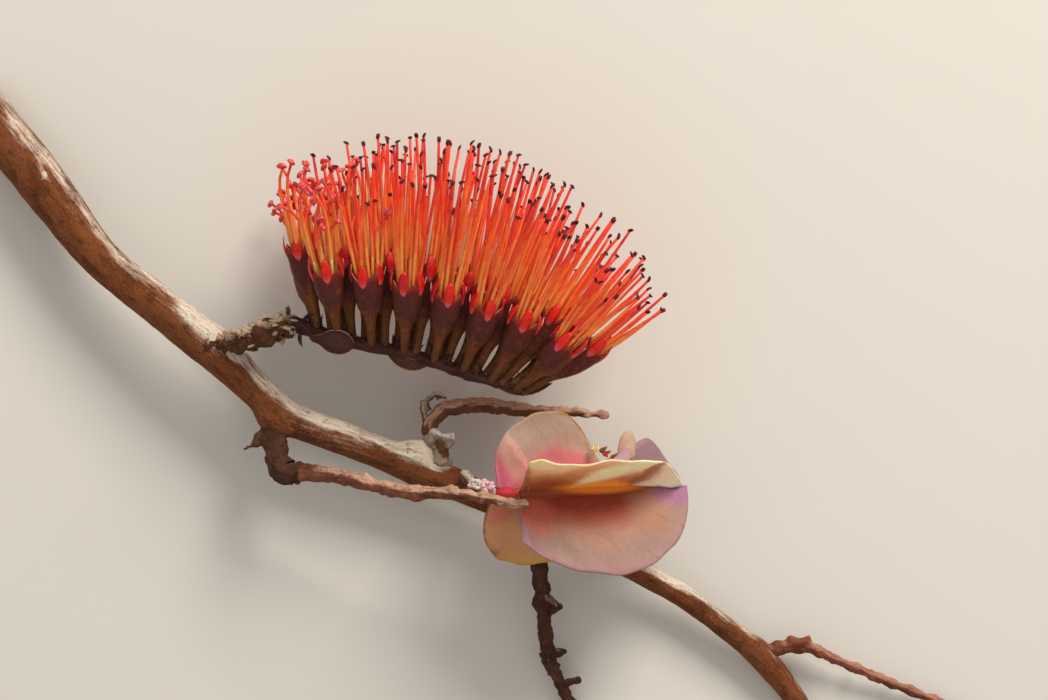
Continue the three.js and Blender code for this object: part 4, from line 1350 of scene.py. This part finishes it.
class BRANCH_OT_petals(bpy.types.Operator):
    """Build the small glossy petals that stand between the cups' lobes"""

    bl_idname = "branch.petals"
    bl_label = "Petals"

    def execute(self, context):
        flowers = context.scene.branch_flowers
        length, width = flowers.petal_length / MM, flowers.petal_width / MM
        bm = bmesh.new()
        rng = random.Random(61)
        widths = [half * width / 2 for half in PETAL_OUTLINE]
        for floret in floret_places():
            for i in range(LOBES):
                outward = around_axis(floret.upward, i / LOBES + floret.twist)
                splay = math.radians(rng.uniform(*PETAL_SPLAYS))
                rise = floret.upward * math.cos(splay) + outward * math.sin(splay)
                long = length * rng.uniform(*PETAL_LENGTHS)
                root = floret.rim + outward * PETAL_RING - rise * PETAL_ROOT

                def line(share):
                    bow = PETAL_BOW * math.sin(math.pi * share) - PETAL_NOD * share * share
                    return root + rise * (long * share) + outward * bow

                shade = rng.choice([0, 0, 1])
                bands = [3, 3, 2, shade, shade, shade, shade, 2]
                spindle(bm, 6, line, outward, widths, PETAL_DEPTHS, lambda ring, turn: bands[ring])
        finishes = [
            petal_finish("petal_red", flowers.petal, "a41412"),
            petal_finish("petal_crimson", "cc1c1e", "9c1216"),
            petal_finish("petal_tip", "ea3428", "cc1c1c", mottle=0.5),
            petal_finish("petal_foot", "e8606a", "c8202a", mottle=0.5, gloss=0.35),
        ]
        finished("petals", bm, finishes, floret_nodes())
        return {"FINISHED"}


# Which of the filament's plain colours each of its rings takes, from the foot to the tip
FILAMENT_BANDS = {
    # The light kind runs more orange and the deep kind redder, dealt out at random: partly real variation,
    # and partly painted light and painted shade of lit and shaded filaments
    "light": [0, 1, 1, 1, 2, 3, 3, 4, 5, 5],
    "warm": [1, 1, 2, 2, 3, 3, 4, 5, 5, 6],
    "deep": [1, 2, 3, 4, 4, 5, 5, 5, 6, 6],
    "young": [0, 0, 0, 1, 1, 2, 3, 4, 5, 5],
}
FILAMENT_TAPER = [0, 0.95, 1.0, 1.0, 0.96, 0.92, 0.88, 0.84, 0.8, 0.74, 0.0]
ANTHER_TAPER = [0, 0.75, 1.0, 0.95, 0.7, 0]

STAMEN_ROOT, STAMEN_RING = 2.4, 1.55  # how far under the rim and how far out the filaments start
STAMEN_SPLAYS = (0.5, 9.5)  # the least and the most degrees that a filament leans out
# Shares of the floret's reach: the longest filament's, and what the shortest lacks. Most are nearly
# as long as the longest where the power is over 1
REACH_MOST, REACH_LOSS, REACH_POWER = 1.01, 0.38, 1.8
# Shares of it for a young filament: the least, the most, and what the most loses along the row
YOUNG_LEAST, YOUNG_MOST, YOUNG_LOSS = 0.5, 1.2, 1.4
SWAY = 0.7  # how far a filament bends aside in its middle
BLUNT_END = 0.012  # the share of a filament over which its end closes
TIP_CLEAR = 0.9  # a filament's tip stays this far over the floor
STAMEN_TRIES = 20  # a filament whose tip is lower is drawn again, up to this often
HOOK_LENGTHS = (1.2, 3.2)
HOOK_FROM = 0.62  # the share of a filament past which it hooks over
HOOK_LOSS = 0.45  # how much of the hook's length a filament loses in height
YOUNG_SIZE = 1.35  # a closed anther's length beside an open one's
YOUNG_RADIUS, RIPE_RADIUS = 0.42, 0.22  # a pollen sac's, while it is closed and once it is open
SAC_LENGTHS = (0.85, 1.05)  # the least and the most of the anthers' length
SAC_HOLD = 0.4  # the share of a sac's length at which the filament holds it
SAC_APART = 0.75  # how far a sac's middle lies beside the filament's tip, in its own radii
SAC_BOW = 0.1
STYLE_ROOT = 2.6  # how far under the rim a style starts
STYLE_LEAN = 0.06
STYLE_LENGTHS = (0.82, 0.98)  # the least and the most of the floret's reach
STYLE_SIZES = [0, 0.26, 0.26, 0.24, 0.2, 0.14, 0]


def filament_line(floret, outward, direction, length, sway, hook):
    """A filament's middle line: nearly straight, or hooked over at its tip while it is young."""
    start = floret.rim - floret.upward * STAMEN_ROOT + outward * STAMEN_RING

    def line(share):
        lift = direction * (length * share) + sway * (math.sin(math.pi * share) * SWAY)
        late = max(0.0, share - HOOK_FROM) / (1 - HOOK_FROM)
        return start + lift + hook * (late * late) - direction * (hook.length * HOOK_LOSS * late**3)

    return line


def random_filament(floret, place, count, rng):
    """Draws one of a floret's filaments: its middle line, its outward side, and whether it is young."""
    turn = (place + rng.uniform(-0.5, 0.5)) / count
    spread = math.radians(rng.uniform(*STAMEN_SPLAYS))
    length = floret.reach * (REACH_MOST - REACH_LOSS * rng.random() ** REACH_POWER) + STAMEN_ROOT
    outward = around_axis(floret.upward, turn)
    direction = floret.upward * math.cos(spread) + outward * math.sin(spread)
    sway = Vector([rng.uniform(-1, 1) for _ in range(3)])
    hook = Vector((0, 0, 0))
    if rng.random() < floret.youth:
        most = YOUNG_MOST - YOUNG_LOSS * floret.share
        length = floret.reach * rng.uniform(YOUNG_LEAST, most) + STAMEN_ROOT
        toward = around_axis(floret.upward, rng.random()) + direction * 0.1
        hook = toward.normalized() * rng.uniform(*HOOK_LENGTHS)
    return filament_line(floret, outward, direction, length, sway, hook), outward, hook.length > 0


def add_anther(bm, line, rng, young, length, age):
    """Two slim pollen sacs that lie across the filament's tip."""
    tip = line(1.0)
    ahead = (tip - line(0.96)).normalized()
    side, front = across(ahead)
    angle = rng.uniform(0, math.tau)
    cross = side * math.cos(angle) + front * math.sin(angle)
    lay = (cross + ahead * rng.uniform(-0.5, 1.0 + 4.0 * age)).normalized()
    apart = lay.cross(ahead).normalized() if lay.cross(ahead).length > 0.01 else side
    long = length * (YOUNG_SIZE if young else 1.0) * rng.uniform(*SAC_LENGTHS)
    thick = YOUNG_RADIUS if young else RIPE_RADIUS
    sizes = [thick * taper for taper in ANTHER_TAPER]
    for way in (-1, 1):
        centre = tip + apart * (way * thick * SAC_APART)

        def sac(share):
            bow = ahead * (SAC_BOW * math.sin(math.pi * share))
            return centre + lay * (long * (share - SAC_HOLD)) + bow

        spindle(bm, 6, sac, apart, sizes, sizes, plain(1 if young else 0))


def add_style(bm, floret, rng):
    """The floret's one pointed style, out of the middle of its cup."""
    lean = around_axis(floret.upward, rng.random()) * STYLE_LEAN
    direction = (floret.upward + lean).normalized()
    length = floret.reach * rng.uniform(*STYLE_LENGTHS) + STYLE_ROOT
    start = floret.rim - floret.upward * STYLE_ROOT
    paint = plain(1 if floret.youth > 0 else 0)
    spindle(bm, 5, lambda share: start + direction * (length * share), lean, STYLE_SIZES, STYLE_SIZES, paint)


class BRANCH_OT_stamens(bpy.types.Operator):
    """Build the long red filaments with their anthers, and each floret's pointed style"""

    bl_idname = "branch.stamens"
    bl_label = "Stamens"

    def execute(self, context):
        flowers = context.scene.branch_flowers
        anther_length = flowers.anther_length / MM
        sizes = [flowers.filament_radius / MM * taper for taper in FILAMENT_TAPER]
        rng = random.Random(73)
        threads, anthers, styles = bmesh.new(), bmesh.new(), bmesh.new()
        for floret in floret_places():
            count = flowers.filaments + round(3 * floret.youth)
            for i in range(count):
                for _ in range(STAMEN_TRIES):
                    line, outward, young = random_filament(floret, i, count, rng)
                    if line(1.0).z > TIP_CLEAR:
                        break
                # The lighter and deeper kinds are partly real variation, and partly painted light and painted
                # shade
                kind = "young" if young else rng.choice(["light", "warm", "warm", "deep"])
                bands = FILAMENT_BANDS[kind]
                spindle(threads, 5, line, outward, sizes, sizes, lambda ring, turn: bands[ring], BLUNT_END)
                add_anther(anthers, line, rng, young, anther_length, floret.share)
            add_style(styles, floret, rng)
        foot, tip = flowers.filament_foot, flowers.filament_tip
        tones = ["ffd888", foot, "ff984a", "ff7c3c", "ff6234", "f6462e", tip]
        finishes = []
        for i, tone in enumerate(tones):
            name, speckle = f"filament_{i + 1}", darker(tone, 0.8)
            finishes.append(soft_finish(name, tone, speckle, 0.4, 0.6, 0.02, subsurface=0.4, gloss=0.3))
        finished("filaments", threads, finishes, floret_nodes())
        dull = {"subsurface": 0.0, "scale": 2.6, "gloss": 0.15}
        shiny = {"subsurface": 0.2, "scale": 2.0, "gloss": 0.6}
        sacs = [
            # The lighter mottle on the anthers is partly their own colour and partly painted highlight
            soft_finish("anther_ripe", flowers.anther, "8a3430", 0.45, 0.4, 0.06, **dull),
            soft_finish("anther_young", flowers.young_anther, "e86a66", 0.22, 0.6, 0.06, **shiny),
        ]
        finished("anthers", anthers, sacs, floret_nodes())
        needles = [
            soft_finish("style_ripe", "ee7038", "c84c24", 0.4, 0.5, 0.02, subsurface=0.2),
            soft_finish("style_young", "efc878", "c88a40", 0.4, 0.5, 0.02, subsurface=0.2),
        ]
        finished("styles", styles, needles, floret_nodes())
        return {"FINISHED"}


# The fruit


def fruit_frame():
    """The fruit's own axes: along it, up towards +Y, and to the front."""
    rise, drop = math.radians(FRUIT_RISE), math.radians(FRUIT_DROP)
    along = Vector((math.cos(rise) * math.cos(drop), math.sin(rise) * math.cos(drop), -math.sin(drop)))
    up = Vector((0, 1, 0))
    up = (up - along * along.y).normalized()
    return along, up, along.cross(up)


WING_STEPS = (96, 36)  # a wing's faces along the fruit and out from it
EDGE_NOTCH = 0.018  # how deep the border's notches are, as a share of the wing's reach there
NOTCH_RATES = (31, 13)  # radians along the wing, of two waves that make the notches
FOLDS = [(19, 1, 0.7), (43, 3, 0.25)]  # radians along the wing, phases, and shares of the ripple
FOLD_LEAN, FOLD_POWER = 0.3, 1.5  # how the folds slant, and how they grow, on their way to the border
SWELL, SWELL_RATES = 1.4, (5, 3)  # slow swells: their height in ripples, and how many lie each way


def add_wing(bm, size, form, ripple, phase):
    """A wing by the source's rule: a sheet drawn out from the body to a rounded, rippled edge."""
    turn, reach, half, shift, curl = size
    leans, fullness = form
    along, up, front = fruit_frame()
    angle = math.radians(turn)
    outward = front * math.cos(angle) + up * math.sin(angle)
    facing = along.cross(outward)
    share_layer = bm.verts.layers.float.new("share")
    depth_layer = bm.verts.layers.float.new("depth")
    grid = bmesh.ops.create_grid(bm, x_segments=WING_STEPS[0], y_segments=WING_STEPS[1], size=0.5)
    for corner in grid["verts"]:
        share, depth = corner.co.x + 0.5, corner.co.y + 0.5
        sweep = math.radians(-WING_OVERHANG + (180 + 2 * WING_OVERHANG) * share)
        inner = (share - 0.5) * FRUIT_LENGTH * WING_ROOT
        outer = shift - half * math.cos(sweep)
        fine, slow = [share * rate for rate in NOTCH_RATES]
        edge = 1 - EDGE_NOTCH * (1 + math.sin(fine + phase) * math.sin(slow + phase * 2))
        full = max(math.sin(sweep), 0.0) ** profile_at(fullness, share)
        rise = max(reach * full * edge, WING_CLEAR)
        height = depth * rise
        bend = curl * (height / reach) ** 2 * math.cos(2 * sweep)
        at_fold = share - FOLD_LEAN * depth
        fold = sum(math.sin(at_fold * rate + phase * phases) * tall for rate, phases, tall in FOLDS)
        swell = noise.noise(Vector((share * SWELL_RATES[0], depth * SWELL_RATES[1], phase)))
        bend += ripple * (fold * depth**FOLD_POWER + SWELL * swell * depth)
        corner[share_layer] = share
        corner[depth_layer] = depth
        outer += profile_at(leans, share) * rise / reach
        point = FRUIT_BASE + along * (FRUIT_LENGTH / 2 + mix(inner, outer, depth)) + outward * height
        corner.co = placed(point + facing * bend)
    for face in bm.faces:
        face.smooth = True


BODY_RADIUS = 1.45
BODY_OUTLINE = [0, 0.5, 0.8, 0.96, 1.05, 1.05, 1.0, 1.05, 1.0, 0.9, 0.7, 0.42, 0]
LIP_WIDTH, LIP_DEPTH, LIP_BOW = 1.75, 0.4, (-0.3, 0, 0)
LIP_STEPS, LIP_SQUARE = 20, 0.55  # the lip keeps its width over this share, then rounds off
FLAKES, CREAM_FLAKES = 9, 3
FLAKES_ALONG, FLAKES_UP, FLAKES_HEIGHT = (11.6, 15.4), (-17.7, -19.3), 23.4
CREAM_SIZE, FLAKE_SIZE = (2.0, 1.5), (1.2, 0.8)  # length and width
FOOT_FROM, FOOT_LENGTH = -0.8, 4.2  # the red swelling where the stalk meets the fruit
FOOT_SIZES = [0, 0.6, 0.9, 1.1, 1.2, 1.15, 1.0, 0.6, 0]


def wing_colours(fruit):
    """Each wing's colours from its root to its border, and where each of them is reached."""
    return {
        # The front wing's colours: partly its own, and partly painted light that comes through the paper
        "front": [(0.0, "a04a24"), (0.14, "cc7438"), (0.5, "cc9058"), (0.8, "eeb27c"), (1.0, fruit.cream)],
        "upper": [(0.0, fruit.rose), (0.3, fruit.rose), (0.5, "c09088"), (0.7, "b09686"), (0.96, "b09686"),
                  (1.0, "b8946c")],
        "rear": [(0.0, fruit.red), (0.3, "b06a50"), (0.7, "a8808c"), (1.0, "b08e94")],
        "under": [(0.0, fruit.rose), (0.2, "9c6a40"), (0.6, fruit.tan), (0.93, fruit.tan), (1.0, "8e5c34")],
        # Beside the axis the lower wing's dark red is partly its colour and partly painted shadow of the
        # front wing
        "lower": [(0.0, fruit.red), (0.2, "94341e"), (0.34, "b4543a"), (0.52, "b07a64"), (0.76, fruit.blush),
                  (0.95, fruit.blush_edge), (1.0, "9a6c74")],
    }


def fruit_wings(fruit):
    """The five papery wings, of which the light comes through the front one most."""
    for i, (name, stops) in enumerate(wing_colours(fruit).items()):
        bm = bmesh.new()
        add_wing(bm, WINGS[name], WING_FORMS[name], fruit.ripple / MM, 1.7 * i + 0.4)
        finish = wing_finish(f"wing_{name}", stops, WING_PATCHES[name], 0.9 if name == "front" else 0.2)
        piece = finished(f"wing_{name}", bm, [finish], ["fruit"])
        paper = piece.modifiers.new("Paper", "SOLIDIFY")
        paper.thickness = fruit.wing_thickness
        paper.offset = 0.0


def wing_lip():
    """The rear wing's rolled near edge."""
    front = fruit_frame()[2]
    widths = [0]
    for i in range(LIP_STEPS + 1):
        past = max(i / LIP_STEPS - LIP_SQUARE, 0) / (1 - LIP_SQUARE)
        widths.append(LIP_WIDTH * math.sqrt(max(1 - past**2, 0)))
    bm = bmesh.new()
    spindle(bm, 20, bowed(*WING_LIP, LIP_BOW), front, widths, [width * LIP_DEPTH for width in widths])
    # Cream-tan: partly the rolled edge's colour, and partly a painted highlight on it
    lip = soft_finish("wing_lip", "c4a48e", "ac8474", 0.6, 0.8, 0.1, subsurface=0.2, scale=0.35, gloss=0.2)
    finished("wing_lip", bm, [lip], ["fruit"])


def fruit_flakes():
    """Small dry flakes on the fruit, the first of them larger and cream."""
    rng = random.Random(83)
    bm = bmesh.new()
    for i in range(FLAKES):
        share, cream = i / (FLAKES - 1), i < CREAM_FLAKES
        up = mix(*FLAKES_UP, share) + rng.uniform(-0.2, 0.2)
        foot = Vector((mix(*FLAKES_ALONG, share), up, FLAKES_HEIGHT))
        toward = random_way(rng, (-0.6, 1), (0.1, 0.8), (-0.2, 0.6))
        curl = random_way(rng, (-1, 1), (-0.4, 0.8), (0, 1))
        length, width = CREAM_SIZE if cream else FLAKE_SIZE
        scale_leaf(bm, foot, toward, curl, length, width, 0 if cream else 1 + i % 2)
    flakes = [
        soft_finish("flake_cream", "f2dcae", "c89c60", 0.6, 0.6, 0.1),
        soft_finish("flake_brown", "6e3a1e", "b87a3c", 0.6, 0.6, 0.1),
        soft_finish("flake_red", "c0483a", "8a2a20", 0.6, 0.6, 0.1),
    ]
    finished("fruit_flakes", bm, flakes, ["fruit"])


def fruit_spindle(name, around, start, length, sizes, finish):
    """A round piece along the fruit's own line, such as its body."""
    along, up, front = fruit_frame()
    bm = bmesh.new()
    spindle(bm, around, lambda share: FRUIT_BASE + along * (length * share + start), up, sizes, sizes)
    finished(name, bm, [finish], ["fruit"])


class BRANCH_OT_fruit(bpy.types.Operator):
    """Build the ripe fruit: a slim body with five papery wings"""

    bl_idname = "branch.fruit"
    bl_label = "Winged Fruit"

    def execute(self, context):
        fruit = context.scene.branch_fruit
        fruit_wings(fruit)
        sizes = [BODY_RADIUS * half for half in BODY_OUTLINE]
        fruit_spindle("fruit_body", 20, 0.0, FRUIT_LENGTH, sizes, body_finish(fruit.red))
        wing_lip()
        fruit_flakes()
        foot = soft_finish("fruit_foot", "c8202c", "8e1420", 0.6, 0.6, 0.12, subsurface=0.1, scale=1.2)
        fruit_spindle("fruit_foot", 18, FOOT_FROM, FOOT_LENGTH, FOOT_SIZES, foot)
        return {"FINISHED"}


TUFTS = 64
TUFTS_ALONG, TUFTS_UP, TUFTS_HEIGHT = (-9.6, -5.4), -24.4, 27.6
TUFTS_SPREAD = (1.5, 1.3)  # how far they lie upwards, and over the lowest of them
TUFTS_DROP = 0.9  # how much further down the last ones lie
TUFT_SIZES = (0.22, 0.52)
PINK_FROM = 0.6  # the share of the row past which tufts turn pink


def add_tuft(bm, rng, middle, size, index):
    """A small woolly ball, drawn out to one side."""
    phase = rng.random() * 90
    toward = random_way(rng, (-1, 1), (-0.2, 1), (-0.2, 1))
    for vert in bmesh.ops.create_icosphere(bm, subdivisions=2, radius=1.0)["verts"]:
        wool = 1 + 0.5 * noise.fractal(vert.co * 1.6 + Vector((phase, 0, 0)), 0.7, 2.2, 3)
        drawn = toward * (0.8 * max(vert.co.dot(toward), 0.0) ** 2)
        for face in vert.link_faces:
            face.smooth = True
            face.material_index = index
        vert.co = placed(middle + (vert.co * wool + drawn) * size)


class BRANCH_OT_fruit_stalk(bpy.types.Operator):
    """Build the stalk that carries the fruit, with its pale tufts"""

    bl_idname = "branch.fruit_stalk"
    bl_label = "Fruit Stalk"

    def execute(self, context):
        size = context.scene.branch_wood.twig_mesh_size / MM
        rng = random.Random(91)
        skin = bark_finish("stalk_skin", "7c5446", "8c5c4a", "40261e", "c8b4a6", "8a7268")
        knobs = scattered_knobs(rng, 16, 0.2, 0.7)
        twig_piece("fruit_stalk_skin", "fruit_stalk", LIMBS["fruit_stalk"], "thin_twig", skin,
                   rng, size, knobs=knobs, seed=61.0)
        bm = bmesh.new()
        for _ in range(TUFTS):
            share = rng.random()
            up = TUFTS_UP + TUFTS_SPREAD[0] * rng.random()
            high = TUFTS_HEIGHT + TUFTS_SPREAD[1] * rng.random()
            middle = Vector((mix(*TUFTS_ALONG, share), up, high))
            middle.y -= TUFTS_DROP * share
            pink = share + rng.uniform(-0.2, 0.2) > PINK_FROM
            add_tuft(bm, rng, middle, rng.uniform(*TUFT_SIZES), 1 if pink else 0)
        tufts = [
            soft_finish("tuft_white", "eeddd2", "c49a8c", 0.8, 0.6, 0.2, subsurface=0.2, scale=2.4),
            soft_finish("tuft_pink", "f4c2c6", "de8e9c", 0.7, 0.5, 0.2, subsurface=0.2, scale=2.4),
        ]
        finished("stalk_tufts", bm, tufts, ["fruit_stalk"])
        return {"FINISHED"}


SKY_COLOUR = (1.0, 0.975, 0.94)
KEY_COLOUR = (1.0, 0.95, 0.87)
KEY_WAY, KEY_DISTANCE, KEY_SIZE = (0.38, 0.72, 0.62), 0.9, 0.35  # metres
SENSOR_WIDTH = 36.0


class BRANCH_OT_stage(bpy.types.Operator):
    """Lay the plain pale floor, and set the soft light and the camera"""

    bl_idname = "branch.stage"
    bl_label = "Stage"

    def execute(self, context):
        scene = context.scene
        stage = scene.branch_stage
        bm = bmesh.new()
        bmesh.ops.create_grid(bm, x_segments=1, y_segments=1, size=stage.floor_size / 2)
        finish = Finish("floor")
        fine = finish.grain_noise(finish.ground(), 0.05, 3.0)
        finish.paint(finish.blend(fine * 0.15, stage.floor, darker(stage.floor, 0.9)), 0.9)
        meshed("floor", bm, [finish])

        world = bpy.data.worlds.new("soft_sky")
        world.use_nodes = True
        backdrop = world.node_tree.nodes["Background"]
        backdrop.inputs["Color"].default_value = rgba(SKY_COLOUR)
        backdrop.inputs["Strength"].default_value = stage.sky
        scene.world = world

        key = bpy.data.lights.new("key", "AREA")
        key.energy = stage.key_power
        key.size = KEY_SIZE
        key.color = KEY_COLOUR
        lamp = shown("key", key)
        toward = Vector(KEY_WAY).normalized()
        lamp.location = toward * KEY_DISTANCE
        lamp.rotation_euler = toward.to_track_quat("Z", "Y").to_euler()

        lens = bpy.data.cameras.new("camera")
        lens.lens = stage.focal_length
        lens.sensor_width = SENSOR_WIDTH
        camera = shown("camera", lens)
        camera.location = (-LAYOUT_MIDDLE.x * MM, -LAYOUT_MIDDLE.y * MM, stage.camera_height)
        scene.camera = camera
        scene.view_settings.view_transform = "Standard"
        return {"FINISHED"}


SETTINGS = {
    "branch_wood": BranchWood,
    "branch_flowers": BranchFlowers,
    "branch_fruit": BranchFruit,
    "branch_stage": BranchStage,
}
STEPS = [
    BRANCH_OT_stage,
    BRANCH_OT_stem,
    BRANCH_OT_flower_spur,
    BRANCH_OT_side_twigs,
    BRANCH_OT_flower_axis,
    BRANCH_OT_cups,
    BRANCH_OT_petals,
    BRANCH_OT_stamens,
    BRANCH_OT_fruit,
    BRANCH_OT_fruit_stalk,
]


class BRANCH_PT_panel(bpy.types.Panel):
    """Lists the branch's settings and the steps that build it"""

    bl_idname = "BRANCH_PT_panel"
    bl_label = "Combretum Branch"
    bl_space_type = "VIEW_3D"
    bl_region_type = "UI"
    bl_category = "Branch"

    def draw(self, context):
        for step in STEPS:
            self.layout.operator(step.bl_idname)
        for name, group in SETTINGS.items():
            box = self.layout.box()
            box.label(text=group.__doc__)
            for key in group.__annotations__:
                box.prop(getattr(context.scene, name), key)


def register():
    for group in SETTINGS.values():
        bpy.utils.register_class(group)
    for name, group in SETTINGS.items():
        setattr(bpy.types.Scene, name, PointerProperty(type=group))
    for step in STEPS:
        bpy.utils.register_class(step)
    bpy.utils.register_class(BRANCH_PT_panel)


def unregister():
    bpy.utils.unregister_class(BRANCH_PT_panel)
    for step in reversed(STEPS):
        bpy.utils.unregister_class(step)
    for name in SETTINGS:
        delattr(bpy.types.Scene, name)
    for group in reversed(SETTINGS.values()):
        bpy.utils.unregister_class(group)


def main():
    register()
    bpy.ops.branch.stage()
    bpy.ops.branch.stem()
    bpy.ops.branch.flower_spur()
    bpy.ops.branch.side_twigs()
    bpy.ops.branch.flower_axis()
    bpy.ops.branch.cups()
    bpy.ops.branch.petals()
    bpy.ops.branch.stamens()
    bpy.ops.branch.fruit()
    bpy.ops.branch.fruit_stalk()


if __name__ == "__main__":
    main()
